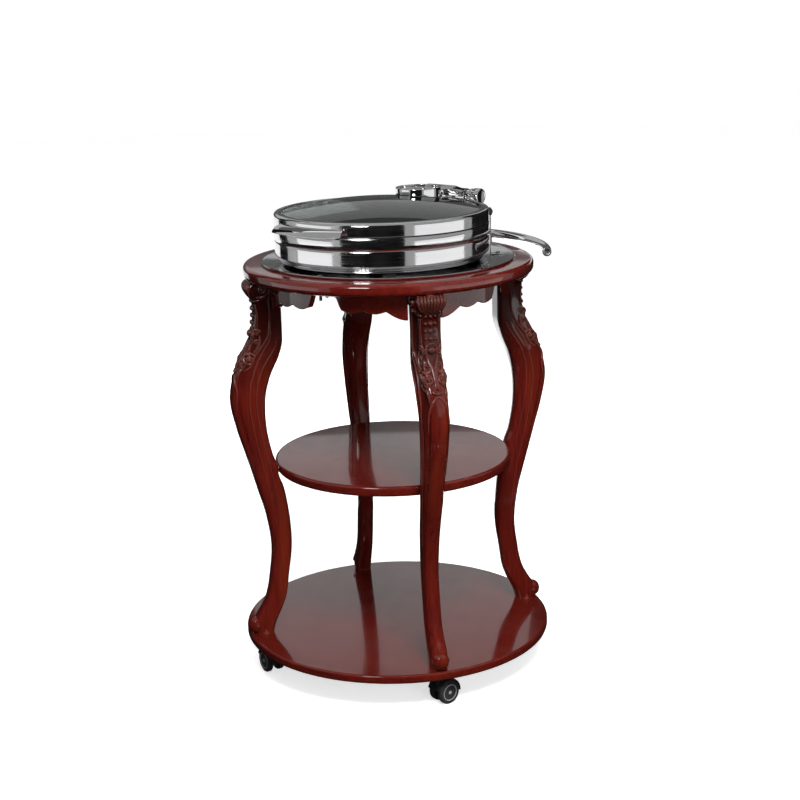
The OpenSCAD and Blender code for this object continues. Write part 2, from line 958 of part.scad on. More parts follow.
// The fixed half of the hinge: a pad on the shell and two cheeks
cheek_in = 36;
cheek_out = 48;
neck_r = 14;
neck_end = hinge_half - barrel_l;
pad_half = 50;
pad_out = body_r + 5;
pad_low = shell_z + 17;
pad_high = band_z - 2;
washer_t = 3.4;

module hinge_bracket() {
    color(CHROME)
    warmer()
    difference() {
        union() {
            difference() {
                translate([-pad_half, body_r - 12, pad_low])
                    cube([2 * pad_half, pad_out - body_r + 12, pad_high - pad_low]);
                translate([0, 0, pad_low - 1])
                    cylinder(r = body_r, h = pad_high - pad_low + 2);
            }
            for (side = [-1, 1]) {
                translate([side > 0 ? cheek_in : -cheek_out, 0, 0])
                    rotate([90, 0, 90])
                    linear_extrude(cheek_out - cheek_in)
                    polygon([
                        [body_r + 1.3, pad_low], [hinge_u - 7, pad_low],
                        [hinge_u + neck_r - 1, hinge_z - 16], [hinge_u + neck_r, hinge_z],
                        [hinge_u - neck_r, hinge_z], [body_r + 1.3, hinge_z - 22]
                    ]);
                neck(side);
            }
        }
        on_hinge(-hinge_half, hinge_half, pin_r);
        hinge_screws();
    }
}

// Neck of the bracket between washer and end barrel, with a raised ring
module neck(side) {
    from = knuckle_half + washer_t;
    ring_from = neck_end - 9;
    if (side > 0) {
        on_hinge(from, neck_end, neck_r);
        on_hinge(ring_from, ring_from + 4, neck_r + 1.5);
    } else {
        on_hinge(-neck_end, -from, neck_r);
        on_hinge(-ring_from - 4, -ring_from, neck_r + 1.5);
    }
}

module hinge_pin() {
    color(STEEL)
    warmer()
    on_hinge(-hinge_half + 5, hinge_half - 5, pin_r);
}

module hinge_end_barrels() {
    r = barrel_r;
    color(CHROME)
    warmer()
    for (side = [-1, 1])
        difference() {
            translate([side * neck_end, hinge_u, hinge_z])
            rotate([0, side * 90, 0])
            rotate_extrude()
            polygon(concat(
                [[0, 0], [r - 1, 0], [r, 1]],
                arc(r - 2, barrel_l - 2, 2, 0, 90),
                [[0, barrel_l]]
            ));
            on_hinge(-hinge_half + 5, hinge_half - 5, pin_r);
        }
}

module hinge_washers() {
    color(BLACK)
    warmer()
    for (side = [-1, 1])
        difference() {
            translate([side * (knuckle_half + side_fit), hinge_u, hinge_z])
                rotate([0, side * 90, 0])
                cylinder(r = neck_r - 1, h = washer_t - side_fit);
            on_hinge(-hinge_half, hinge_half, pin_r);
        }
}

// Screws of the hinge bracket and of the side guides
screw_d = 5;
screw_head = 9;
screw_head_h = 3;
module hinge_screws() {
    for (s = [-26, 26], z = [pad_low + 6, pad_high - 6])
        translate([s, pad_out, z]) rotate([90, 0, 0]) pan_screw(14);
}

// A pan head screw: the head stands over z = 0 and the shank points down -Z after turning
module pan_screw(l) {
    cylinder(d = screw_d, h = l);
    translate([0, 0, -screw_head_h]) cylinder(d = screw_head, h = screw_head_h);
}

guide_screw_r = body_r + 18;
module guide_screws() {
    for (side = [-1, 1])
        polar(guide_screw_r, az_back + side * guide_turn)
        translate([0, 0, tray_top + tray_t]) rotate([180, 0, 0]) pan_screw(22);
}

module bracket_screws() {
    color(STEEL)
    warmer() {
        hinge_screws();
        guide_screws();
    }
}

// Upright guides that stand on the tray at the warmer's sides
guide_top = ring_z + 6;
guide_t = 2;
module side_guides() {
    inner = body_r + guide_gap;
    color(CHROME)
    warmer()
    difference() {
        for (side = [-1, 1])
            rotate([0, 0, az_back + side * guide_turn])
            translate([0, -guide_w / 2, tray_top]) {
                translate([inner, 0, 0]) cube([guide_t, guide_w, guide_top - tray_top]);
                translate([inner, 0, 0]) cube([26, guide_w, tray_t]);
            }
        guide_screws();
    }
}

module guide_tips() {
    inner = body_r + guide_gap;
    color(BLACK)
    warmer()
    for (side = [-1, 1])
        rotate([0, 0, az_back + side * guide_turn])
        translate([inner - 0.5, guide_w / 2, guide_top + 8])
        rotate([90, 0, 0])
        linear_extrude(guide_w)
        polygon(concat([[0, -8], [guide_t + 1.5, -8]], arc(-2, 0, guide_t + 6, -15, 75), [[0, 8]]));
}

// The push handle and its posts
module push_handle() {
    r = handle_d / 2;
    color(CHROME)
    on_axis()
    translate([0, 0, handle_z])
    rotate([0, 0, az_back - handle_half])
    rotate_extrude(angle = 2 * handle_half)
    translate([handle_r, 0])
    difference() {
        circle(r = r);
        circle(r = r - handle_wall);
    }
}

module handle_plugs() {
    r = handle_d / 2;
    cap_angle = 0.4;
    plug_angle = 2.2;
    color(STEEL)
    on_axis()
    translate([0, 0, handle_z])
    for (side = [-1, 1])
        rotate([0, 0, az_back + side * handle_half])
        mirror([0, side > 0 ? 1 : 0, 0]) {
            rotate([0, 0, -cap_angle])
                rotate_extrude(angle = cap_angle)
                translate([handle_r, 0]) circle(r = r);
            rotate_extrude(angle = plug_angle)
                translate([handle_r, 0]) circle(r = r - handle_wall);
        }
}

post_r = 6;
bar_t = 6;
bar_w = 24;
bar_in = 266;
post_screw_d = 4;
module post_places() {
    for (side = [-1, 1])
        rotate([0, 0, az_back + side * post_turn]) children();
}

module post_screws() {
    for (r = [bar_in + 7, bar_in + 23])
        translate([r, 0, top_under - bar_t]) mirror([0, 0, 1])
        countersunk(post_screw_d, 20, 2 * post_screw_d);
}

module handle_posts() {
    color(CHROME)
    on_axis()
    difference() {
        post_places() {
            translate([bar_in, -bar_w / 2, top_under - bar_t])
                cube([handle_r - bar_in, bar_w, bar_t]);
            translate([handle_r, 0, top_under - bar_t])
                cylinder(r = bar_w / 2, h = bar_t);
            translate([handle_r, 0, top_under - bar_t])
                cylinder(r = post_r, h = handle_z - top_under + bar_t - 2);
        }
        translate([0, 0, handle_z])
            rotate([0, 0, az_back - handle_half])
            rotate_extrude(angle = 2 * handle_half)
            translate([handle_r, 0])
            circle(d = handle_d);
        post_places() post_screws();
    }
}

// The casters
// The frame of one caster: the swivel axis at the origin, the wheel trailing along +X
plate_screw_off = 18;
plate_screw_l = 15;
race_r = 19;
race_h = 3.7;
hood_top = caster_h - plate_t - race_h - 0.3;
kingpin_low = hood_top - 20;

module plate_screws() {
    for (x = [-1, 1], y = [-1, 1])
        translate([x * plate_screw_off, y * plate_screw_off, caster_h - plate_t])
        mirror([0, 0, 1])
        countersunk(post_screw_d, plate_screw_l, 1.6 * post_screw_d);
}

module wood_screws() {
    color(STEEL)
    on_axis() {
        post_places() post_screws();
        for (az = LEG_AZ) polar(caster_r, az) plate_screws();
    }
}

module caster_plates() {
    color(STEEL)
    on_axis()
    for (az = LEG_AZ)
        polar(caster_r, az)
        difference() {
            union() {
                translate([-plate_w / 2, -plate_w / 2, caster_h - plate_t])
                    cube([plate_w, plate_w, plate_t]);
                translate([0, 0, caster_h - plate_t - race_h])
                    cylinder(r = race_r, h = race_h);
                translate([0, 0, kingpin_low])
                    cylinder(r = kingpin_r, h = caster_h - plate_t - kingpin_low);
            }
            plate_screws();
        }
}

module at_caster(i) {
    on_axis()
    rotate([0, 0, LEG_AZ[i]])
    translate([caster_r, 0, 0])
    rotate([0, 0, TRAIL_AZ[i] - LEG_AZ[i]])
    children();
}

// A cylinder on the wheel axle from y0 to y1
module on_axle(y0, y1, r) {
    translate([trail, y1, wheel_r])
    rotate([90, 0, 0])
    cylinder(r = r, h = y1 - y0);
}

web_half = 6.5;
hub_half = web_half + 0.5;
hub_gap = 0.4;
wheel_in = hub_half + hub_gap;
wheel_out = wheel_in + wheel_w;
hub_r = 0.8 * wheel_r;
hub_deep = 1.2;

module caster_hood(i) {
    clear = 1.5;
    skin = 2.5;
    inner = wheel_r + clear;
    color(BLACK)
    at_caster(i)
    difference() {
        union() {
            translate([0, 0, kingpin_low - 3])
                cylinder(r = web_half, h = hood_top - kingpin_low + 3);
            translate([0, 0, hood_top - 4]) cylinder(r = race_r - 2, h = 4);
            translate([0, web_half, 0])
                rotate([90, 0, 0])
                linear_extrude(2 * web_half)
                polygon([
                    [-6, kingpin_low - 3], [-6, hood_top - 4], [6, hood_top - 4],
                    [trail + inner * cos(60), wheel_r + inner * sin(60)],
                    [trail + 9, wheel_r], [trail, wheel_r - 8], [trail - 9, wheel_r - 3]
                ]);
            on_axle(-hub_half, hub_half, 9);
            fender(inner, inner + skin);
        }
        translate([0, 0, kingpin_low - 1])
            cylinder(r = kingpin_r + run_fit, h = hood_top);
        on_axle(-hub_half - 1, hub_half + 1, axle_r + run_fit);
    }
}

// The curved cover over both wheels
module fender(r0, r1) {
    half = wheel_out + 0.3;
    translate([trail, half, wheel_r])
    rotate([90, 0, 0])
    linear_extrude(2 * half)
    polygon(concat(arc(0, 0, r1, -5, 165, 24), arc(0, 0, r0, 165, -5, 24)));
}

module caster_wheels(i) {
    edge = 3;
    color(RUBBER)
    at_caster(i)
    for (side = [-1, 1])
        difference() {
            translate([trail, side * wheel_in, wheel_r])
            rotate([-side * 90, 0, 0])
            rotate_extrude()
            polygon(concat(
                [[axle_r, 0], [wheel_r - edge, 0]],
                arc(wheel_r - edge, edge, edge, -90, 0, 4),
                arc(wheel_r - edge, wheel_w - edge, edge, 0, 90, 4),
                [[hub_r, wheel_w], [hub_r, wheel_w - hub_deep], [axle_r, wheel_w - hub_deep]]
            ));
        }
}

// The axle carries a pressed disc at each end
module caster_axle(i) {
    disc_from = wheel_out - hub_deep;
    color(CHROME)
    at_caster(i)
    translate([trail, 0, wheel_r]) {
        rotate([90, 0, 0]) cylinder(r = axle_r, h = 2 * disc_from, center = true);
        for (side = [-1, 1])
            translate([0, side * disc_from, 0])
            rotate([-side * 90, 0, 0])
            rotate_extrude()
            polygon([
                [0, 0], [hub_r, 0], [hub_r, hub_deep], [hub_r - 1, hub_deep + 0.4],
                [hub_r - 3.2, hub_deep + 0.4], [hub_r - 3.6, hub_deep - 0.4], [0, hub_deep - 0.4]
            ]);
    }
}

module caster_hood_fl() { caster_hood(0); }
module caster_hood_fr() { caster_hood(1); }
module caster_hood_bl() { caster_hood(2); }
module caster_hood_br() { caster_hood(3); }
module caster_wheels_fl() { caster_wheels(0); }
module caster_wheels_fr() { caster_wheels(1); }
module caster_wheels_bl() { caster_wheels(2); }
module caster_wheels_br() { caster_wheels(3); }
module caster_axle_fl() { caster_axle(0); }
module caster_axle_fr() { caster_axle(1); }
module caster_axle_bl() { caster_axle(2); }
module caster_axle_br() { caster_axle(3); }

top_board();
shelf_board();
base_board();
leg_front_left();
leg_front_right();
leg_back_left();
leg_back_right();
apron_front();
apron_back();
apron_left();
apron_right();
corner_blocks();
leg_screws();
shelf_dowels();
drip_tray();
tray_screws();
tray_wing_nuts();
warmer_shell();
warmer_feet();
insulation_disc();
heating_element();
heating_plate();
thermostat();
power_inlet();
water_pan();
food_pan();
lid_ring();
lid_glass();
glass_seal();
lid_gasket();
lid_lip();
lid_boss();
boss_bolt();
boss_seals();
lid_arm();
hinge_bracket();
hinge_pin();
hinge_end_barrels();
hinge_washers();
bracket_screws();
side_guides();
guide_tips();
push_handle();
handle_plugs();
handle_posts();
wood_screws();
caster_plates();
caster_hood_fl();
caster_hood_fr();
caster_hood_bl();
caster_hood_br();
caster_wheels_fl();
caster_wheels_fr();
caster_wheels_bl();
caster_wheels_br();
caster_axle_fl();
caster_axle_fr();
caster_axle_bl();
caster_axle_br();
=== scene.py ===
"""Food warmer cart: boards, carved legs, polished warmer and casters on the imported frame."""

import json
import math

import bmesh
import bpy
from mathutils import Matrix, Vector

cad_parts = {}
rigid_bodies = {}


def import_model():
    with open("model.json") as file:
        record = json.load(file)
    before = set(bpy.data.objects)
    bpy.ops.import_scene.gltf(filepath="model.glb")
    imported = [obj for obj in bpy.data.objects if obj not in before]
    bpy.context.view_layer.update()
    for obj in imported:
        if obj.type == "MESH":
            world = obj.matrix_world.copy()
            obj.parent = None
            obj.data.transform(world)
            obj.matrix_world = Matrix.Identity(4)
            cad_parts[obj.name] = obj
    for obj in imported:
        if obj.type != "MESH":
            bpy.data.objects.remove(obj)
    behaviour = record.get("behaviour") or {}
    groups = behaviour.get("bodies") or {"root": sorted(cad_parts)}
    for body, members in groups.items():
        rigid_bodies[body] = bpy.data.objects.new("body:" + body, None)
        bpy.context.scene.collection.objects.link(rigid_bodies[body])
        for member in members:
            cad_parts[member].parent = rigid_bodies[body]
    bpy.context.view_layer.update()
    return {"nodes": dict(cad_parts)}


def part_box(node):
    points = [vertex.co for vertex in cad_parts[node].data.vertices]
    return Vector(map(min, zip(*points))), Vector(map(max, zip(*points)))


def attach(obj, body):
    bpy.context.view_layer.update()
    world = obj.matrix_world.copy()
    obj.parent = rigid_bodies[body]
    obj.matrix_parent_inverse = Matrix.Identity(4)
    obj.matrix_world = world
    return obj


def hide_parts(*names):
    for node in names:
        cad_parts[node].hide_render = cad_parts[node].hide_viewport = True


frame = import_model()

bl_info = {
    "name": "Food warmer cart",
    "version": (1, 0, 0),
    "blender": (4, 5, 0),
    "location": "3D View > Sidebar > Cart",
    "description": "Builds the boards, carved legs, warmer, lid, handle and casters of the cart",
    "category": "Object",
}

MM = 0.001

# Short name and bearing of each leg, and the way that its caster trails
LEGS = {
    "front_left": ("fl", 225, -30),
    "front_right": ("fr", 315, 68),
    "back_left": ("bl", 135, -30),
    "back_right": ("br", 45, 68),
}

# Places that several pieces share, in degrees and millimetres
WARMER_TURN = -11.5
CASTER_CIRCLE = 291
BOSS_FAR, BOSS_RADIUS = 119, 47.5  # the round boss, from the warmer's axis
HINGE_OUT, HINGE_UP = 28, 1  # the hinge's axis, from the warmer's side and the lid ring's top

# Steps round the large turned pieces
ROUND = 160


def reach(node):
    """Half the width of a solid's box along X, in metres."""
    low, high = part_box(node)
    return (high.x - low.x) / 2


def lowest(node):
    """Height of a solid's lowest point, in millimetres."""
    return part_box(node)[0].z / MM


def highest(node):
    """Height of a solid's highest point, in millimetres."""
    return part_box(node)[1].z / MM


def turn(angle, axis="Z"):
    """A turn in degrees about one of the axes."""
    return Matrix.Rotation(math.radians(angle), 4, axis)


def shift(x=0.0, y=0.0, z=0.0):
    """A move in millimetres."""
    return Matrix.Translation((x * MM, y * MM, z * MM))


def upright(node):
    """A move along the floor to the middle of a solid's box."""
    low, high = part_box(node)
    middle = (low + high) / 2
    return Matrix.Translation((middle.x, middle.y, 0))


CART = upright("top_board")
WARMER = upright("water_pan") @ turn(WARMER_TURN)


# Sizes and colours that a user may change


def user_length(name, description, default, low, high):
    """A length in metres that a user may change."""
    return bpy.props.FloatProperty(
        name=name, description=description, default=default, min=low, max=high, unit="LENGTH")


def user_colour(name, description, default):
    """A colour that a user may change."""
    return bpy.props.FloatVectorProperty(
        name=name, description=description, default=default, min=0, max=1, size=3,
        subtype="COLOR")


class CartSizes(bpy.types.PropertyGroup):
    """Sizes of the cart's own pieces"""

    top_radius: user_length(
        "Top board radius", "Radius of the top board", reach("top_board"), 0.2, 0.5)
    top_edge: user_length(
        "Top board edge", "Rounding of the top board's edge", 0.010, 0.001, 0.012)
    shelf_radius: user_length(
        "Shelf radius", "Radius of the middle shelf", reach("shelf_board"), 0.15, 0.4)
    shelf_edge: user_length(
        "Shelf edge", "Rounding of the shelf's edge", 0.006, 0.001, 0.01)
    base_radius: user_length(
        "Base board radius", "Radius of the base board", reach("base_board"), 0.2, 0.5)
    base_edge: user_length(
        "Base board edge", "Rounding of the base board's edge", 0.005, 0.001, 0.008)
    tray_radius: user_length(
        "Tray radius", "Radius of the steel tray", reach("drip_tray"), 0.2, 0.3)
    tray_rim: user_length(
        "Tray rim", "Height of the tray's rim", 0.005, 0.002, 0.01)
    body_radius: user_length(
        "Warmer radius", "Outside radius of the warmer", reach("water_pan"), 0.15, 0.3)
    dome_rise: user_length(
        "Dome rise", "Rise of the glass over its edge", 0.022, 0.01, 0.04)
    handle_tube: user_length(
        "Handle tube", "Diameter of the push handle's tube", 0.019, 0.01, 0.03)
    wheel_radius: user_length(
        "Wheel radius", "Radius of a caster's wheels", 0.025, 0.02, 0.03)


class CartColours(bpy.types.PropertyGroup):
    """Colours of the cart's finishes"""

    mahogany: user_colour("Mahogany", "Red stain under the lacquer", (0.105, 0.008, 0.005))
    # The dark grain colour is also the painted shade towards the legs' tops and, with the glaze,
    # in the carving's hollows
    mahogany_dark: user_colour("Dark grain", "Dark lines of the grain", (0.020, 0.002, 0.0015))
    mahogany_light: user_colour(
        "Light streaks", "Orange streaks where the stain is thin", (0.300, 0.045, 0.010))
    steel: user_colour("Polished steel", "Polished stainless steel", (0.80, 0.80, 0.81))
    zinc: user_colour("Zinc plate", "Zinc plated screws and plates", (0.50, 0.50, 0.51))
    nylon: user_colour("Black nylon", "Moulded nylon of hoods and tips", (0.014, 0.014, 0.015))
    rubber: user_colour("Black rubber", "Seals and feet", (0.020, 0.020, 0.020))
    glass: user_colour("Smoked glass", "Tint of the lid's glass", (0.16, 0.19, 0.18))
    floor: user_colour("Floor", "Pale studio floor", (0.93, 0.93, 0.93))


def user_size(name):
    """One of the cart's sizes, in millimetres."""
    return getattr(bpy.context.scene.cart_sizes, name) / MM


# Modelling helpers


def put_down():
    """Leaves edit mode and selects nothing."""
    if bpy.context.mode != "OBJECT":
        bpy.ops.object.mode_set(mode="OBJECT")
    bpy.ops.object.select_all(action="DESELECT")


def take(*pieces):
    """Selects these pieces, the first of them active."""
    put_down()
    for piece in pieces:
        piece.select_set(True)
    bpy.context.view_layer.objects.active = pieces[0]


def edit(piece):
    """Opens a piece in edit mode with all of it selected."""
    take(piece)
    bpy.ops.object.mode_set(mode="EDIT")
    bpy.ops.mesh.select_all(action="SELECT")


def choose(test, kind="VERT"):
    """In edit mode, selects what passes a test: points, edges by both ends or faces by middle."""
    bpy.ops.mesh.select_mode(type=kind)
    bpy.ops.mesh.select_all(action="DESELECT")
    mesh = bpy.context.object.data
    shape = bmesh.from_edit_mesh(mesh)
    if kind == "VERT":
        for point in shape.verts:
            point.select_set(test(point.co))
    elif kind == "EDGE":
        for line in shape.edges:
            line.select_set(all(test(point.co) for point in line.verts))
    else:
        for face in shape.faces:
            face.select_set(test(face.calc_center_median()))
    shape.select_flush_mode()
    bmesh.update_edit_mesh(mesh)


def named(piece, name):
    """Names a piece and its mesh."""
    piece.name = name
    piece.data.name = name
    return piece


def draw(name, points, closed=False):
    """Draws a line through points in millimetres, from one point of a merged plane."""
    put_down()
    points = [Vector(point) * MM for point in points]
    if closed:
        points.append(points[0])
    bpy.ops.mesh.primitive_plane_add(size=MM)
    piece = named(bpy.context.object, name)
    bpy.ops.object.mode_set(mode="EDIT")
    bpy.ops.mesh.select_mode(type="VERT")
    bpy.ops.mesh.select_all(action="SELECT")
    bpy.ops.mesh.merge(type="CENTER")
    bpy.ops.transform.translate(value=points[0])
    for here, there in zip(points, points[1:]):
        bpy.ops.mesh.extrude_vertices_move(TRANSFORM_OT_translate={"value": there - here})
    if closed:
        bpy.ops.mesh.select_all(action="SELECT")
        bpy.ops.mesh.remove_doubles(threshold=1e-6)
    bpy.ops.mesh.select_all(action="SELECT")
    return piece


def close_up():
    """In edit mode, merges seams and poles and turns the faces outwards."""
    bpy.ops.mesh.select_all(action="SELECT")
    bpy.ops.mesh.remove_doubles(threshold=2e-6)
    bpy.ops.mesh.normals_make_consistent(inside=False)


def smooth(piece, angle=40):
    """Shades a piece smooth up to an angle between its faces."""
    take(piece)
    bpy.ops.object.shade_smooth_by_angle(angle=math.radians(angle))
    return piece


def settle(piece, place):
    """Puts a piece in its place and applies that to its mesh."""
    piece.matrix_world = place @ piece.matrix_world
    take(piece)
    bpy.ops.object.transform_apply(location=True, rotation=True, scale=True)
    return piece


def turned(name, section, place=Matrix(), steps=128, start=0, sweep=360, closed=False, angle=40):
    """Turns a half section, given as radius and height, about the Z axis."""
    points = [(radius, 0, height) for radius, height in section]
    piece = draw(name, points, closed)
    if closed and sweep < 360:
        bpy.ops.mesh.edge_face_add()
    bpy.ops.mesh.spin(steps=steps, angle=-math.radians(sweep), center=(0, 0, 0), axis=(0, 0, 1))
    close_up()
    put_down()
    smooth(piece, angle)
    return settle(piece, place @ turn(start))


def cut_out(name, outline, run, place=Matrix()):
    """Draws a closed outline, fills it and draws it out along a vector in millimetres."""
    piece = draw(name, outline, closed=True)
    bpy.ops.mesh.edge_face_add()
    bpy.ops.mesh.extrude_region_move(TRANSFORM_OT_translate={"value": Vector(run) * MM})
    close_up()
    put_down()
    return settle(piece, place)


def soften(piece, width, segments=2, angle=35):
    """Rounds the sharp edges of a piece, width in millimetres."""
    rounding = piece.modifiers.new("Rounded edges", "BEVEL")
    rounding.width = width * MM
    rounding.segments = segments
    rounding.limit_method = "ANGLE"
    rounding.angle_limit = math.radians(angle)
    take(piece)
    bpy.ops.object.modifier_apply(modifier=rounding.name)
    return smooth(piece, 50)


def clear_away(*pieces):
    """Deletes pieces that have done their work."""
    take(*pieces)
    bpy.ops.object.delete()


def cut_with(piece, cutter):
    """Cuts a closed piece out of another and removes the cutter."""
    cut = piece.modifiers.new("Cut", "BOOLEAN")
    cut.operation = "DIFFERENCE"
    cut.solver = "EXACT"
    cut.object = cutter
    take(piece)
    bpy.ops.object.modifier_apply(modifier=cut.name)
    clear_away(cutter)
    return piece


def another(piece, name, place):
    """A copy of a piece with its own mesh, moved from where the first one is."""
    take(piece)
    bpy.ops.object.duplicate()
    return settle(named(bpy.context.object, name), place)


def join(name, pieces):
    """Joins pieces into the first of them."""
    take(*pieces)
    if len(pieces) > 1:
        bpy.ops.object.join()
    return named(pieces[0], name)


def arc(x, y, radius, start, end, steps=6):
    """Points along an arc, angles in degrees."""
    angles = [math.radians(start + (end - start) * i / steps) for i in range(steps + 1)]
    return [(x + radius * math.cos(a), y + radius * math.sin(a)) for a in angles]


def about(x, y, *points):
    """Points of a section, given from one point of it."""
    return [(x + u, y + v) for u, v in points]


def set_off(section, side, out=0):
    """A section moved out along its axis, on one side or the other."""
    return [(radius, side * (out + height)) for radius, height in section]


# Shader helpers


class Wire:
    """A socket in a sum: arithmetic on it adds Math nodes."""

    def __init__(self, finish, socket):
        self.finish = finish
        self.socket = socket

    def math(self, operation, other):
        """Adds a Math node that takes this socket and another one or a number."""
        return self.finish.node("ShaderNodeMath", {"operation": operation}, {0: self, 1: other})

    def __add__(self, other):
        return self.math("ADD", other)

    def __mul__(self, other):
        return self.math("MULTIPLY", other)

    __radd__ = __add__
    __rmul__ = __mul__


class Finish:
    """A procedural material under construction."""

    def __init__(self, name):
        self.material = bpy.data.materials.new(name)
        self.material.use_nodes = True
        self.tree = self.material.node_tree
        self.tree.nodes.clear()
        end = self.tree.nodes.new("ShaderNodeOutputMaterial")
        self.shader = self.tree.nodes.new("ShaderNodeBsdfPrincipled")
        self.tree.links.new(self.shader.outputs[0], end.inputs[0])
        self.place = self.node("ShaderNodeTexCoord", {}, {}, "Object")

    def node(self, kind, settings, inputs, output=0):
        """Adds a node, makes its settings, fills its sockets and returns one output."""
        node = self.tree.nodes.new(kind)
        for key, value in settings.items():
            setattr(node, key, value)
        for key, value in inputs.items():
            self.plug(node.inputs[key], value)
        return Wire(self, node.outputs[output])

    def plug(self, socket, value):
        """Links a wire to a socket, or sets the socket's value."""
        if isinstance(value, Wire):
            self.tree.links.new(value.socket, socket)
        elif socket.type == "RGBA":
            socket.default_value = (*value, 1.0)
        else:
            socket.default_value = value

    def set(self, **values):
        """Sets sockets of the shader; a low dash stands for a space."""
        for key, value in values.items():
            self.plug(self.shader.inputs[key.replace("_", " ")], value)
        return self.material

    def scaled(self, x, y, z):
        """Object coordinates in metres, stretched along each axis."""
        return self.node("ShaderNodeMapping", {}, {"Vector": self.place, "Scale": (x, y, z)})

    def noise(self, vector, scale, detail=4.0, rough=0.5, warp=0.0):
        """Soft noise, most of it between 0.3 and 0.7."""
        return self.node("ShaderNodeTexNoise", {}, {
            "Vector": vector, "Scale": scale, "Detail": detail,
            "Roughness": rough, "Distortion": warp})

    def spread(self, value, low, high, to_low=0.0, to_high=1.0):
        """Maps a value from one range to another, held at both ends."""
        return self.node("ShaderNodeMapRange", {"clamp": True}, {
            0: value, 1: low, 2: high, 3: to_low, 4: to_high})

    def vary(self, noise, low=0.0, high=1.0):
        """Spreads the usual range of a noise over another range."""
        return self.spread(noise, 0.3, 0.7, low, high)

    def mix(self, share, first, second):
        """Mixes two colours."""
        return self.node("ShaderNodeMix", {"data_type": "RGBA"}, {
            0: share, 6: first, 7: second}, 2)

    def bump(self, height, strength, distance):
        """A bump of the surface, its distance in millimetres."""
        return self.node("ShaderNodeBump", {}, {
            "Height": height, "Strength": strength, "Distance": distance * MM})


def dimmed(colour, share):
    """A colour with only a share of its light."""
    return tuple(value * share for value in colour)


def lacquered(name, along, dark=0.0, streaks=0.0, carved=False, painted_light=False):
    """Mahogany under gloss lacquer, grain along an axis; with painted light, painted shade darkens
    it towards a leg's top and painted highlights lighten its edges.
    """
    colours = bpy.context.scene.cart_colours
    finish = Finish(name)
    fine = {"X": (5, 90, 90), "Z": (90, 90, 5)}[along]
    grain = finish.noise(finish.scaled(*fine), 2.0, 6, 0.6, 0.2)
    figure = finish.noise(finish.scaled(*[value / 9 for value in fine]), 1.5, 3, 0.5, 0.5)
    pores = finish.noise(finish.scaled(*[value * 4 for value in fine]), 2.0, 2, 0.5)
    lines = finish.spread(grain, 0.30, 0.80, 0.0, 0.75)
    colour = finish.mix(lines, colours.mahogany, colours.mahogany_dark)
    patches = finish.spread(figure, 0.48, 0.78, 0.0, 0.10 + streaks)
    colour = finish.mix(patches, colour, colours.mahogany_light)
    if dark > 0:
        colour = finish.mix(dark, colour, colours.mahogany_dark)
    if carved or painted_light:
        edges = finish.node("ShaderNodeNewGeometry", {}, {}, "Pointiness")
    if carved:
        # Dark glaze left in the hollows, partly a painted shade of the carving's recesses
        deep = finish.spread(edges, 0.44, 0.56, 0.85, 0.0)
        worn = finish.noise(finish.place, 160, 3)
        glaze_and_painted_shade = deep * finish.vary(worn, 0.7, 1.0)
        colour = finish.mix(glaze_and_painted_shade, colour, dimmed(colours.mahogany_dark, 0.4))
    if painted_light:
        # Painted shade under the top board: the leg darkens between these heights, lifted off the
        # edges
        height = finish.node("ShaderNodeSeparateXYZ", {}, {0: finish.place}, "Z")
        cloud = finish.noise(finish.place, 30, 3)
        # Painted shade: darker towards the leg's top, where the top board shades it
        stain = finish.spread(height + cloud * 0.06, 0.63, 0.77, 0.0, 0.90)
        colour = finish.mix(stain, colour, colours.mahogany_dark)
        # Lighter edges: partly rubbed wear, partly a painted highlight
        wear_and_painted_highlight = finish.spread(edges, 0.53, 0.66, 0.0, 0.24)
        colour = finish.mix(wear_and_painted_highlight, colour, (0.52, 0.18, 0.13))
    haze = finish.noise(finish.place, 14, 3)
    waves = finish.noise(finish.place, 9, 2) * (3.0 if carved else 2.0)
    return finish.set(
        Base_Color=colour, Roughness=finish.vary(haze, 0.10, 0.24 if carved else 0.20),
        Coat_Weight=0.9, Coat_Roughness=0.05, Coat_IOR=1.5, Specular_IOR_Level=0.35,
        Normal=finish.bump(pores * 0.35 + waves, 0.08, 0.3))


def polished(name, brushed=(1.0, 1.0, 60.0), low=0.06, high=0.20):
    """Polished stainless steel with faint lines of the polishing wheel."""
    steel = bpy.context.scene.cart_colours.steel
    finish = Finish(name)
    lines = finish.noise(finish.scaled(*brushed), 6.0, 4, 0.6)
    clouds = finish.noise(finish.place, 11, 3)
    marks = finish.spread(lines, 0.35, 0.70)
    return finish.set(
        Base_Color=finish.mix(marks * 0.5, steel, dimmed(steel, 0.86)), Metallic=1.0,
        Roughness=finish.spread(marks * clouds, 0.1, 0.5, low, high),
        Normal=finish.bump(lines, 0.06, 0.05))


def satin(name, colour, low, high, scale=(40.0, 40.0, 40.0), metallic=1.0):
    """Dull metal, or metal paint, with a fine cloudy surface."""
    finish = Finish(name)
    grit = finish.noise(finish.scaled(*scale), 8.0, 5, 0.6)
    spots = finish.spread(grit, 0.35, 0.65)
    return finish.set(
        Base_Color=finish.mix(spots, colour, dimmed(colour, 0.72)), Metallic=metallic,
        Roughness=finish.vary(grit, low, high), Normal=finish.bump(grit, 0.12, 0.08))


def moulded(name, colour, low, high, grit_size=900.0, depth=0.25):
    """Moulded plastic or rubber with a fine grain and slight wear."""
    finish = Finish(name)
    grit = finish.noise(finish.place, grit_size, 2)
    wear = finish.noise(finish.place, 35, 4)
    worn = finish.spread(wear, 0.45, 0.75, 0.0, 0.5)
    pale = tuple(min(1, value * 2.2 + 0.006) for value in colour)
    return finish.set(
        Base_Color=finish.mix(worn, colour, pale),
        Roughness=finish.vary(wear, low, high), Normal=finish.bump(grit, depth, 0.06))


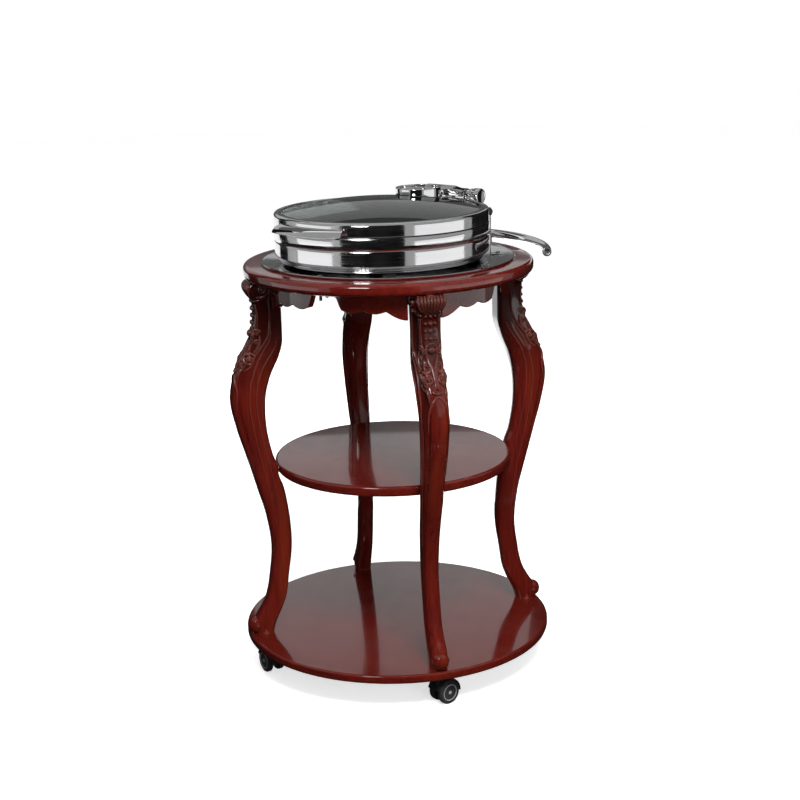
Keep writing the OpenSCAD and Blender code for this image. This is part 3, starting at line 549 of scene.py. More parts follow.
def smoked(name):
    """Smoked glass with a faint haze."""
    finish = Finish(name)
    haze = finish.noise(finish.place, 8, 3)
    tint = dimmed(bpy.context.scene.cart_colours.glass, 0.35)
    return finish.set(
        Base_Color=finish.mix(finish.vary(haze), tint, dimmed(tint, 0.88)),
        Roughness=finish.vary(haze, 0.01, 0.03), Transmission_Weight=0.92, IOR=1.4,
        Specular_IOR_Level=0.3)


def fibrous(name, pale, deep, size):
    """Pressed fibre or plain wood with a soft grain."""
    finish = Finish(name)
    strands = finish.noise(finish.scaled(size, size, size * 3), 5.0, 5, 0.7, 0.5)
    return finish.set(
        Base_Color=finish.mix(finish.spread(strands, 0.35, 0.65), pale, deep),
        Roughness=finish.vary(strands, 0.6, 0.9), Normal=finish.bump(strands, 0.4, 0.5))


GLOSSY = (14, 14, 14)  # no lines of the polishing wheel
FINISHES = {
    "board lacquer": lambda n: lacquered(n, "X"),
    # Legs and carving take painted shade towards the top and painted highlights on edges; the
    # carving's extra darkness is partly painted shade
    "leg lacquer": lambda n: lacquered(n, "Z", streaks=0.15, painted_light=True),
    "carving lacquer": lambda n: lacquered(n, "Z", dark=0.35, carved=True, painted_light=True),
    "apron lacquer": lambda n: lacquered(n, "X", dark=0.15),
    "polished steel": polished,
    "polished glossy steel": lambda n: polished(n, GLOSSY, low=0.02, high=0.09),
    "polished tray": lambda n: polished(n, GLOSSY, low=0.05, high=0.14),
    # Bright grey and only partly metallic: a painted reflection of the pale floor in the caster
    # hubs' chrome
    "bright wheel disc": lambda n: satin(n, (0.78, 0.78, 0.80), 0.16, 0.28, (30, 30, 30), 0.4),
    "satin steel": lambda n: satin(n, (0.60, 0.60, 0.61), 0.22, 0.36, (3.0, 3.0, 60.0)),
    "zinc plate": lambda n: satin(n, bpy.context.scene.cart_colours.zinc, 0.26, 0.42),
    "cast aluminium": lambda n: satin(n, (0.55, 0.55, 0.56), 0.38, 0.55, (90, 90, 90)),
    "black nylon": lambda n: moulded(n, bpy.context.scene.cart_colours.nylon, 0.30, 0.46),
    "black tread": lambda n: moulded(n, (0.020, 0.020, 0.021), 0.50, 0.72, 500, 0.4),
    "black silicone": lambda n: moulded(n, bpy.context.scene.cart_colours.rubber, 0.42, 0.62),
    "smoked glass": smoked,
    "pressed wool": lambda n: fibrous(n, (0.62, 0.55, 0.42), (0.40, 0.34, 0.24), 30),
    "plain beech": lambda n: fibrous(n, (0.58, 0.40, 0.24), (0.42, 0.27, 0.14), 14),
}


def finish_of(name):
    """The material of a finish, made when it is first used."""
    return bpy.data.materials.get(name) or FINISHES[name](name)


def fit(piece, body, slot, finish, *nodes):
    """Gives a piece its finish and body, and the solids that it stands for; the slot is not used.
    """
    piece.data.materials.clear()
    piece.data.materials.append(finish_of(finish))
    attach(piece, body)
    if nodes:
        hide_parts(*nodes)
    return piece


def recoat(finish, *nodes):
    """Gives solids that stay in view a better finish."""
    for name in nodes:
        mesh = frame["nodes"][name].data
        mesh.materials.clear()
        mesh.materials.append(finish_of(finish))


# Boards


def board(name, radius, low, high, edge):
    """A round board with rounded edges."""
    section = [(0, low)] + arc(radius - edge, low + edge, edge, -90, 0, 8)
    section += arc(radius - edge, high - edge, edge, 0, 90, 8) + [(0, high)]
    return turned(name, section, CART, steps=ROUND)


class CART_OT_boards(bpy.types.Operator):
    """Turns the top board, the shelf and the base board"""

    bl_idname = "cart.boards"
    bl_label = "Boards"

    def execute(self, context):
        for short in ("top", "shelf", "base"):
            node = short + "_board"
            piece = board(node + "_turned", user_size(short + "_radius"), lowest(node),
                          highest(node), user_size(short + "_edge"))
            fit(piece, "cart", "mahogany", "board lacquer", node)
        return {"FINISHED"}


# Legs. The leg's own frame: +X away from the cart's axis, +Y along the rim, +Z up.

# Height as a share of the leg, then inner face, outer face and width
LEG_LINE = [
    (0.000, 6, 44, 36), (0.025, 1, 50, 38), (0.048, -7, 44, 37), (0.075, -17, 31, 35),
    (0.110, -26, 18, 34), (0.165, -32, 9, 34), (0.250, -41, 2, 34), (0.340, -39, 10, 36),
    (0.420, -30, 26, 39), (0.460, -19.6, 34, 41), (0.480, -19.6, 38, 42), (0.520, -9, 47, 45),
    (0.600, 1, 64, 50), (0.680, 0, 74, 54), (0.745, -12, 64, 58), (0.790, -27, 47, 59),
    (0.830, -36, 29, 57), (0.865, -37, 22, 55), (0.900, -37, 18, 54), (0.935, -37, 18, 55),
    (0.950, -37, 20.5, 56), (0.962, -37, 25, 57), (0.975, -38, 30, 59), (0.986, -38, 31.5, 60),
    (0.995, -38, 28, 58), (1.000, -38, 24, 55),
]

# How square the leg's section is, up its height: a high number is a square, two is an ellipse
LEG_SQUARENESS = [
    (0.0, 2.8), (0.06, 2.7), (0.25, 2.8), (0.42, 2.8), (0.47, 3.2), (0.54, 2.6), (0.70, 2.7),
    (0.77, 4.5), (0.83, 8.0), (1.0, 9.0),
]
LEG_CIRCLE = 270
LEG_LOW = 83
LEG_LENGTH = 760
FOOT_X, FOOT_Z = 312, 102  # middle of the roll that the foot ends in


def share_at(height):
    """A height as a share of the leg."""
    return (height - LEG_LOW) / LEG_LENGTH


def leg_at(share):
    """Inner face, outer face and width of the leg, smooth between the rows."""
    row = max(i for i, line in enumerate(LEG_LINE[:-1]) if line[0] <= share + 1e-9)

    def slope(i, column):
        a, b = LEG_LINE[max(i - 1, 0)], LEG_LINE[min(i + 1, len(LEG_LINE) - 1)]
        return (b[column] - a[column]) / (b[0] - a[0])

    run = LEG_LINE[row + 1][0] - LEG_LINE[row][0]
    s = (share - LEG_LINE[row][0]) / run
    values = []
    for column in (1, 2, 3):
        start, end = LEG_LINE[row][column], LEG_LINE[row + 1][column]
        values.append(
            (2 * s**3 - 3 * s**2 + 1) * start + (s**3 - 2 * s**2 + s) * slope(row, column) * run
            + (3 * s**2 - 2 * s**3) * end + (s**3 - s**2) * slope(row + 1, column) * run)
    return values


def ease(value, low, high):
    """Rises smoothly from 0 to 1 between two values."""
    s = min(max((value - low) / (high - low), 0), 1)
    return s * s * (3 - 2 * s)


def squareness(share):
    """Squareness of the leg's section, straight between the rows."""
    for (low, start), (high, end) in zip(LEG_SQUARENESS, LEG_SQUARENESS[1:]):
        if share <= high:
            return start + (end - start) * (share - low) / (high - low)
    return LEG_SQUARENESS[-1][1]


def cove(share, u):
    """Width left by the coves along the post's front half, u from -1 inside to 1 outside."""
    depth = 0.31 * ease(share, 0.655, 0.75) * (1 - ease(share, 0.946, 0.964))
    s = min(max((u + 0.05) / 0.85, 0), 1)
    return 1 - depth * (1 - (1 - s) ** 2)


def leg_post():
    """The plain leg: one rounded section drawn down from the top, ring by ring."""
    start = 60
    put_down()
    bpy.ops.mesh.primitive_plane_add(size=start * MM)
    piece = named(bpy.context.object, "leg_post")
    bpy.ops.object.mode_set(mode="EDIT")
    bpy.ops.mesh.select_mode(type="VERT")
    bpy.ops.mesh.select_all(action="SELECT")
    # Ten faces along each side, with the four corners rounded
    bpy.ops.mesh.subdivide(number_cuts=9)
    choose(lambda point: abs(abs(point.x) - abs(point.y)) < 1e-5 and point.length > 0.04)
    bpy.ops.mesh.bevel(offset=7 * MM, segments=5, affect="VERTICES")
    bpy.ops.mesh.select_all(action="SELECT")
    size = [start, start]
    place = Vector((0, 0, 0))
    # The rings of the capital, which ends at this share of the height, then those below it
    capital, below, low = 16, 84, 0.925
    shares = [1 - (1 - low) * i / capital for i in range(capital)]
    shares += [low * (1 - i / below) for i in range(below + 1)]
    for i, share in enumerate(shares):
        inner, outer, width = leg_at(share)
        target = Vector((LEG_CIRCLE + (inner + outer) / 2, 0, LEG_LOW + share * LEG_LENGTH))
        step = (target - place) * MM
        if i == 0:
            bpy.ops.transform.translate(value=step)
        else:
            bpy.ops.mesh.extrude_region_move(TRANSFORM_OT_translate={"value": step})
        place = target
        ratio = ((outer - inner) / size[0], width / size[1], 1)
        bpy.ops.transform.resize(value=ratio, center_override=place * MM)
        size = [outer - inner, width]
    close_up()
    # Each ring takes its own squareness and coves, and the knee a groove on each front corner.
    # Points well inside the two end faces stay where they are.
    shape = bmesh.from_edit_mesh(piece.data)
    for point in shape.verts:
        share = min(max(share_at(point.co.z / MM), 0), 1)
        inner, outer, width = leg_at(share)
        centre = LEG_CIRCLE + (inner + outer) / 2
        u = (point.co.x / MM - centre) / (outer - inner) * 2
        v = point.co.y / MM / width * 2
        if max(abs(u), abs(v)) < 0.80:
            continue
        power = squareness(share)
        angle = math.atan2(v, u)
        far = (abs(math.cos(angle)) ** power + abs(math.sin(angle)) ** power) ** (-1 / power)
        corner = (abs(math.degrees(angle)) - 50) / 10
        groove = 0.15 * ease(share, 0.40, 0.58) * (1 - ease(share, 0.66, 0.74))
        far -= groove * math.exp(-corner**2)
        u, v = far * math.cos(angle), far * math.sin(angle)
        point.co.x = (centre + u * (outer - inner) / 2) * MM
        point.co.y = v * cove(share, u) * width / 2 * MM
    bmesh.update_edit_mesh(piece.data)
    put_down()
    return smooth(piece, 60)


def strand(points):
    """A ridge along points in millimetres, each with its own radius, closed at both ends."""
    put_down()
    bpy.ops.curve.primitive_bezier_curve_add()
    curve = bpy.context.object.data
    curve.splines.clear()
    spline = curve.splines.new("POLY")
    spline.points.add(len(points) - 1)
    thickest = max(point[3] for point in points)
    for knot, (x, y, z, radius) in zip(spline.points, points):
        knot.co = (x * MM, y * MM, z * MM, 1)
        knot.radius = radius / thickest
    curve.bevel_depth = thickest * MM
    curve.bevel_resolution = 2
    curve.use_fill_caps = True
    bpy.ops.object.convert(target="MESH")
    piece = named(bpy.context.object, "strand")
    edit(piece)
    close_up()
    put_down()
    return piece


def flowing(knots, steps=5):
    """Smooth points through rows of numbers, with steps between each two of them."""
    rows = [knots[0], *knots, knots[-1]]
    points = []
    for a, b, c, d in zip(rows, rows[1:], rows[2:], rows[3:]):
        for i in range(steps):
            s = i / steps
            points.append(tuple(
                0.5 * (2 * q + (r - p) * s + (2 * p - 5 * q + 4 * r - t) * s**2
                       + (3 * q - p - 3 * r + t) * s**3)
                for p, q, r, t in zip(a, b, c, d)))
    return points + [tuple(knots[-1])]


def scroll(radius, thick, turns=1.35, start=90, hand=1, wane=0.30):
    """Flat points of a scroll that winds inwards, each with its radius."""
    steps = int(turns * 14)
    points = []
    for i in range(steps + 1):
        s = i / steps
        angle = math.radians(start + hand * 360 * turns * s)
        far = radius * wane**s
        swell = thick * (0.55 + 0.45 * min(1, 5 * s)) * 0.45**s
        points.append((far * math.cos(angle), far * math.sin(angle), swell))
    return points


def section_at(height):
    """Middle, half depth, half width and squareness of the leg's section at a height."""
    share = min(max(share_at(height), 0), 1)
    inner, outer, width = leg_at(share)
    return LEG_CIRCLE + (inner + outer) / 2, (outer - inner) / 2, width / 2, squareness(share)


def curved_back(share, power):
    """How near the section's edge comes to its box, this far across it."""
    return (1 - min(abs(share), 0.985) ** power) ** (1 / power)


def on_face(across, height, out=0.0):
    """A point on the leg's outer face."""
    centre, depth, width, power = section_at(height)
    width *= cove(share_at(height), 1)
    return centre + depth * curved_back(across / width, power) + out, across, height


def on_side(radius, height, side, out=0.0):
    """A point on one side face of the leg."""
    centre, depth, width, power = section_at(height)
    u = (radius - centre) / depth
    width *= cove(share_at(height), u)
    return radius, side * (width * curved_back(u, power) + out), height


def face_ridge(points, side, lift):
    """A ridge on one half of the outer face, lifted by a share of its radius."""
    return strand([(*on_face(side * a, h, lift * r), r) for a, h, r in points])


def side_ridge(points, side, lift, swell=1.0):
    """A ridge on one side face, lifted by a share of its radius and made this much thicker."""
    return strand([(*on_side(x, h, side, lift * r), swell * r) for x, h, r in points])


def curl(x, height, size, thick, turns, start, hand):
    """Points of a scroll about a place on a face."""
    return [(x + u, height + v, r) for u, v, r in scroll(size, thick, turns, start, hand)]


# Ridges on the outer face, for its +Y half: place across, height and radius of each knot
FACE_RIDGES = [
    # Arms and stem of the Y leaf under the ball
    [(10.5, 727, 1.4), (8.6, 718, 3.6), (5.0, 708, 4.8), (2.4, 699, 4.8), (1.4, 685, 4.2),
     (1.8, 672, 4.2), (4.2, 663, 1.6)],
    # Bow over the ball, down to its curl
    [(0.5, 748.5, 2.0), (6, 747, 2.0), (10.2, 741, 1.7), (11.2, 735, 0.8)],
    # Collar over the knee
    [(0, 659, 3.4), (5, 659, 3.0), (9, 662, 2.0), (12, 667, 0.8)],
    # Leaf points that fill the ground between the scrolls
    [(5.5, 692, 1.0), (7.0, 700, 2.6), (9, 710, 1.2)],
    [(17, 712, 1.0), (17.5, 704, 2.8), (16, 698, 1.6)],
]

# Ridges on each side face: radius, height and the ridge's own radius
SIDE_RIDGES = [
    # Lobes that run back from the capital's scroll
    [(262, 838, 1.6), (257, 831, 3.6), (255.5, 822, 3.2), (257, 815, 1.2)],
    [(285, 812, 1.2), (276, 812.5, 3.6), (268, 816, 3.2), (262, 821, 1.2)],
    [(289, 803, 1.4), (283, 804.5, 3.0), (277, 807, 2.2), (272, 810, 1.0)],
    # Stalks that join the curls
    [(286, 797, 1.2), (284, 780, 2.2), (283, 764, 2.4), (284, 750, 1.6)],
    [(280, 733, 1.4), (281, 719, 3.2), (286, 706, 4.0), (293, 699, 2.6)],
    # Leaf point on the top of the knee
    [(315, 669, 1.0), (323, 662, 3.4), (328, 651, 3.0), (330, 641, 0.8)],
]

# Mouldings that run down the post and sweep out over the knee, in the same way
SIDE_MOULDINGS = [
    [(259, 841, 1.8), (259, 790, 2.3), (259.5, 752, 2.4), (265, 729, 2.5), (278, 709, 2.6),
     (291, 693, 2.6), (298, 677, 2.4), (305, 667, 2.2), (316, 661, 1.2)],
    [(257, 742, 0.6), (262, 722, 1.4), (275, 701, 1.9), (287, 680, 2.0), (297, 655, 1.9),
     (305, 628, 1.8), (308, 590, 1.6), (303, 545, 1.4), (294, 495, 1.2), (282, 440, 1.0),
     (270, 385, 0.8), (262, 330, 0.4)],
    [(247, 720, 0.6), (254, 704, 1.3), (267, 684, 1.7), (281, 660, 1.8), (291, 628, 1.7),
     (294, 590, 1.5), (289, 545, 1.3), (280, 495, 1.1), (268, 440, 0.9), (256, 385, 0.4)],
]

# Scrolls on each side face: radius, height, size, thickness, turns, start, hand
SIDE_SCROLLS = [
    (274, 829, 10.0, 4.2, 1.5, 60, 1),
    (286, 739, 7.6, 3.4, 1.3, 170, -1), (287, 719, 6.4, 3.0, 1.2, 170, -1),
    (304, 684, 14.5, 4.8, 1.6, 150, -1), (319, 675, 8.0, 3.4, 1.3, 60, 1),
]

# Scrolls on the outer face, for its +Y half: across, height, size, thickness, turns, start, hand
FACE_SCROLLS = [
    (12.5, 733, 5.6, 2.8, 1.3, 140, -1), (12, 712, 5.6, 2.8, 1.0, 180, 1),
    (13.5, 685, 12.5, 4.6, 1.5, 110, -1),
]

# Pointed arch over the knee's front lobe, for its +Y half
KNEE_ARCH = [(0, 653, 2.6), (5, 650, 3.0), (12, 641, 2.9), (17.5, 626, 2.5), (20.5, 606, 1.8),
             (21.5, 582, 0.5)]


def mouldings():
    """The plain ridges of a leg: the arch of the knee and the mouldings of both sides."""
    ridges = []
    for side in (-1, 1):
        ridges.append(face_ridge(flowing(KNEE_ARCH), side, -0.25))
        for knots in SIDE_MOULDINGS:
            ridges.append(side_ridge(flowing(knots), side, 0.2, 1.2))
    return ridges


def leg_carving():
    """All the carving of one leg, joined."""
    parts = []
    ball = turned("ball", arc(0, 0, 1, -90, 90, 8), steps=14, angle=70)

    def stud(point, radius):
        """A ball half sunk in the wood."""
        size = Matrix.Diagonal((radius, radius, radius, 1))
        parts.append(another(ball, "stud", shift(*point) @ size))

    def beads(across, out, first, rest):
        """A string of four beads down the post, the top one smaller."""
        for row in range(4):
            stud(on_face(across, 802 - 14.6 * row, out), rest if row else first)

    # Fan of flutes across the capital
    for i in range(-4, 5):
        knots = [(i * 6.3, 842, 1.5), (i * 6.6, 837, 2.8), (i * 6.6, 830, 3.3),
                 (i * 5.9, 821, 3.1), (i * 4.5, 812, 2.5), (i * 3.5, 802 + abs(i) * 1.6, 0.9)]
        parts.append(strand([(*on_face(a, h, 0.9), r) for a, h, r in flowing(knots, 4)]))
    for side in (-1, 1):
        for knots in FACE_RIDGES:
            parts.append(face_ridge(flowing(knots), side, 0.4))
        for across, height, size, *shape in FACE_SCROLLS:
            parts.append(face_ridge(curl(across, height, size, *shape), side, 0.4))
            stud(on_face(side * across, height, 1.2), 0.44 * size)
        stud(on_face(side * 17.5, 671, 0.6), 3.4)
        for knots in SIDE_RIDGES:
            parts.append(side_ridge(flowing(knots), side, 0.3))
        for radius, height, size, *shape in SIDE_SCROLLS:
            parts.append(side_ridge(curl(radius, height, size, *shape), side, 0.4))
            stud(on_side(radius, height, side, 1.0), 0.42 * size)
        # Scroll on the side of the foot, laid on the roll's rounded end
        parts.append(strand(
            [(FOOT_X + u, side * (15.4 - 0.03 * (u * u + v * v) - 0.15 * r), FOOT_Z + v, r)
             for u, v, r in scroll(14.0, 3.2, 1.7, 200, -1)]))
        stud((FOOT_X, side * 14.6, FOOT_Z), 5.0)
        beads(side * 9.2, 1.0, 2.8, 3.6)
    beads(0, 1.4, 3.4, 5.3)
    # The ball of the Y leaf
    stud(on_face(0, 736, 1.8), 8.2)
    clear_away(ball)
    return smooth(join("leg_carving", parts), 60)


def foot_roll():
    """The flattened ball that the leg ends in, between the two scrolls of the foot."""
    half, radius = 17.5, 19
    angles = [math.radians(angle) for angle in range(-66, 67, 12)]
    section = [(radius * math.cos(a), half * math.sin(a)) for a in angles]
    place = shift(FOOT_X, 0, FOOT_Z) @ turn(90, "X")
    return turned("foot_roll", [(0, -half), *section, (0, half)], place, steps=48, angle=60)


class CART_OT_legs(bpy.types.Operator):
    """Carves one leg and copies it to the four places"""

    bl_idname = "cart.legs"
    bl_label = "Carved legs"

    def execute(self, context):
        post = smooth(join("leg_plain", [leg_post(), foot_roll(), *mouldings()]), 60)
        carving = leg_carving()
        for name, (_, bearing, _) in LEGS.items():
            place = CART @ turn(bearing)
            leg = another(post, "leg_" + name + "_shaped", place)
            fit(leg, "cart", "mahogany", "leg lacquer", "leg_" + name)
            relief = another(carving, "leg_" + name + "_carving", place)
            fit(relief, "cart", "mahogany", "carving lacquer")
        clear_away(post, carving)
        recoat("apron lacquer", "corner_blocks")
        recoat("plain beech", "shelf_dowels")
        recoat("zinc plate", "leg_screws", "wood_screws")
        return {"FINISHED"}


# Aprons

APRON_IN, APRON_OUT = 242, 258
APRON_STRIP = 8  # depth of the plain strip that is drawn down to the scallops
LEG_GAP = 0.5 + 62 / 2  # from a leg's middle to the end of an apron
APRON_END = 45 - math.degrees(math.asin(LEG_GAP / APRON_IN))


def apron_depth(angle):
    """Depth of the apron at an angle from its middle, in millimetres."""
    a = abs(angle)
    if a < 6:
        return APRON_STRIP
    if a < 8:
        return APRON_STRIP + 25 * (a - 6) / 2
    if a < 18:
        return 33 + 6 * math.sin(math.pi * (a - 8) / 10)
    if a < 28:
        return 33 + 6 * math.sin(math.pi * (a - 18) / 10) + (a - 18) / 4
    return 35.5 + 18.5 * math.sin(math.pi / 2 * (a - 28) / (APRON_END - 28))


class CART_OT_aprons(bpy.types.Operator):
    """Bends one scalloped apron and copies it to the four sides"""

    bl_idname = "cart.aprons"
    bl_label = "Aprons"

    def execute(self, context):
        top = highest("apron_front")
        low = top - APRON_STRIP
        steps = 72
        section = [(APRON_IN, low), (APRON_OUT, low), (APRON_OUT, top), (APRON_IN, top)]
        apron = turned(
            "apron", section, steps=steps, start=-APRON_END, sweep=2 * APRON_END, closed=True)
        edit(apron)
        for i in range(steps + 1):
            angle = -APRON_END + 2 * APRON_END * i / steps
            drop = APRON_STRIP - apron_depth(angle)
            if drop > -0.01:
                continue

            def under(point, angle=angle):
                """The lower corners of this step."""
                bearing = math.degrees(math.atan2(point.y, point.x))
                return point.z < (top - APRON_STRIP / 2) * MM and abs(bearing - angle) < 0.05

            choose(under)
            bpy.ops.transform.translate(value=(0, 0, drop * MM))
        put_down()
        soften(apron, 1.6, 2, 50)
        for name, bearing in (("right", 0), ("back", 90), ("left", 180), ("front", 270)):
            piece = another(apron, "apron_" + name + "_bent", CART @ turn(bearing))
            fit(piece, "cart", "dark_mahogany", "apron lacquer", "apron_" + name)
        clear_away(apron)
        return {"FINISHED"}


# Tray, its screws and wing nuts


class CART_OT_tray(bpy.types.Operator):
    """Spins the steel tray and makes its wing nuts"""

    bl_idname = "cart.tray"
    bl_label = "Tray"

    def execute(self, context):
        low = lowest("drip_tray")
        radius, rim, sheet = user_size("tray_radius"), user_size("tray_rim"), 2.0
        section = [(0, low)] + arc(radius - rim, low + rim, rim, -90, 0, 8)[:-1]
        section += about(radius, low + rim, (0, -0.7), (-0.6, 0))
        section += [(radius - sheet + 0.4, low + rim)]
        section += arc(radius - rim, low + rim, rim - sheet, 0, -90, 6)
        section += about(radius, low + sheet, (-24, 0), (-27, -0.5)) + [(0, low + sheet - 0.5)]
        tray = turned("drip_tray_spun", section, CART, steps=ROUND)
        fit(tray, "cart", "polished_steel", "polished tray", "drip_tray")
        self.wing_nuts(lowest("top_board"))
        recoat("zinc plate", "tray_screws")
        return {"FINISHED"}

    def wing_nuts(self, under):
        """One wing nut, copied to the four screws that hold the tray from below."""
        circle, tall = 235, 10
        hub = turned("nut", [(3.1, 0), (5, 0), (6, 1), (6, 6), (4.6, 9), (3.1, 9.8)],
                     steps=24, closed=True)
        wings = [hub]
        for side in (-1, 1):
            outline = [(4, 1), (10, -2.5), (15.5, -5.6), (18, -5), (18.8, -2.4), (17, -0.2),
                       (10, 4.5), (4, 8)]
            outline = [(0, side * y, z) for y, z in outline]
            wings.append(soften(cut_out("wing", outline, (2.6, 0, 0), shift(-1.3)), 0.9, 3))
        nut = join("wing_nut", wings)
        nuts = [
            another(nut, "wing_nut", CART @ turn(90 * i - 5) @ shift(circle, 0, under - tall))
            for i in range(4)]
        clear_away(nut)
        fit(join("tray_wing_nuts_bent", nuts), "cart", "plated_steel", "zinc plate",
            "tray_wing_nuts")


# Warmer body


class CART_OT_warmer(bpy.types.Operator):
    """Spins the warmer's shell and its two pans, and finishes what they hold"""

    bl_idname = "cart.warmer"
    bl_label = "Warmer body"

    def execute(self, context):
        radius = user_size("body_radius")
        low = lowest("warmer_shell")
        high = low + 44
        inner = radius - 18
        self.shell(radius, low, high)
        self.water_pan(radius, high, inner)
        self.food_pan(inner - 4.5)
        recoat("black silicone", "warmer_feet")
        recoat("pressed wool", "insulation_disc")
        recoat("zinc plate", "heating_element")
        recoat("cast aluminium", "heating_plate")
        recoat("black nylon", "thermostat", "power_inlet")
        return {"FINISHED"}

    def shell(self, radius, low, high):
        """The lower shell with its stepped foot and the opening of the power inlet."""
        step, mid = radius - 10, radius - 6.5
        section = [(0, low), (step - 2, low)] + arc(step - 2, low + 2, 2, -90, 0, 3)[1:]
        section += [(step, low + 3)] + about(mid, low, (-0.8, 4.6), (0, 5.4), (0, 6.6))
        section += about(radius, low, (-2.2, 10.2), (-0.7, 12), (-0.1, 13.8), (0, 15),
                         (0, 17.5), (0, 38.5))
        section += about(radius, high, (0, -1), (-0.5, -0.2), (-1.2, 0), (-2, 0), (-2, 6),
                         (-3.4, 6), (-3.4, -1.5), (-1.5, -1.5))
        section += about(radius, low, (-1.5, 38.5), (-1.5, 17.5), (-1.6, 15.3), (-3, 12.1))
        section += about(mid, low, (-1.5, 8), (-1.5, 6.1))
        section += about(step, low, (-1.5, 4.6), (-1.5, 1.5)) + [(0, low + 1.5)]
        shell = turned("warmer_shell_spun", section, WARMER, steps=ROUND)
        centre = WARMER.translation

        def at_inlet(point):
            """Both walls of the left side, where the power inlet looks out."""
            level = (low + 17.6) * MM < point.z < (low + 38.4) * MM
            bearing = math.degrees(math.atan2(point.y - centre.y, point.x - centre.x))
            return level and 180 - abs(bearing) < 3.4

        edit(shell)
        choose(at_inlet, "FACE")
        bpy.ops.mesh.delete(type="FACE")
        bpy.ops.mesh.select_mode(type="EDGE")
        bpy.ops.mesh.select_all(action="DESELECT")
        shape = bmesh.from_edit_mesh(shell.data)
        for line in shape.edges:
            line.select_set(line.is_boundary)
        bmesh.update_edit_mesh(shell.data)
        bpy.ops.mesh.bridge_edge_loops()
        close_up()
        put_down()
        smooth(shell, 40)
        fit(shell, "cart", "polished_steel", "polished steel", "warmer_shell")

    def water_pan(self, radius, band, inner):
        """The water pan, which hangs by the band that shows between shell and lid."""
        low, rim = lowest("water_pan"), highest("water_pan")
        section = [(0, low)] + arc(inner - 8, low + 8, 8, -90, 0, 6)
        section += [(inner, rim - 1.5), (radius - 1.5, rim - 1.5)]
        section += about(radius, band, (-1.5, 0.3), (-1.2, 0.05), (-0.4, 0.1), (0, 0.7))
        section += about(radius, rim, (0, -1.2), (-0.4, -0.35), (-1.2, 0))
        section += about(inner, rim, (-1.2, 0), (-1.5, -0.4))
        section += arc(inner - 8, low + 8, 6.5, 0, -90, 6) + [(0, low + 1.5)]
        fit(turned("water_pan_spun", section, WARMER, steps=ROUND),
            "cart", "polished_steel", "polished steel", "water_pan")

    def food_pan(self, wall):
        """The food pan that lifts out, with its rolled rim."""
        low, high = lowest("food_pan"), highest("food_pan")
        section = [(0, low)] + arc(wall - 10, low + 10, 10, -90, 0, 8) + [(wall, high - 1.2)]
        section += about(reach("food_pan") / MM, high, (-0.5, -1.2), (0, -0.7), (-0.4, 0))
        section += about(wall, high, (-0.6, 0), (-1.2, -0.6))
        section += arc(wall - 10, low + 10, 8.8, 0, -90, 8) + [(0, low + 1.2)]
        fit(turned("food_pan_spun", section, WARMER, steps=128),
            "pan", "brushed_steel", "satin steel", "food_pan")


# Lid


def dome_height(radius, depth, sphere, sphere_z):
    """Height of the glass dome at a radius, this deep under its outer face."""
    return sphere_z + math.sqrt((sphere - depth) ** 2 - radius * radius)


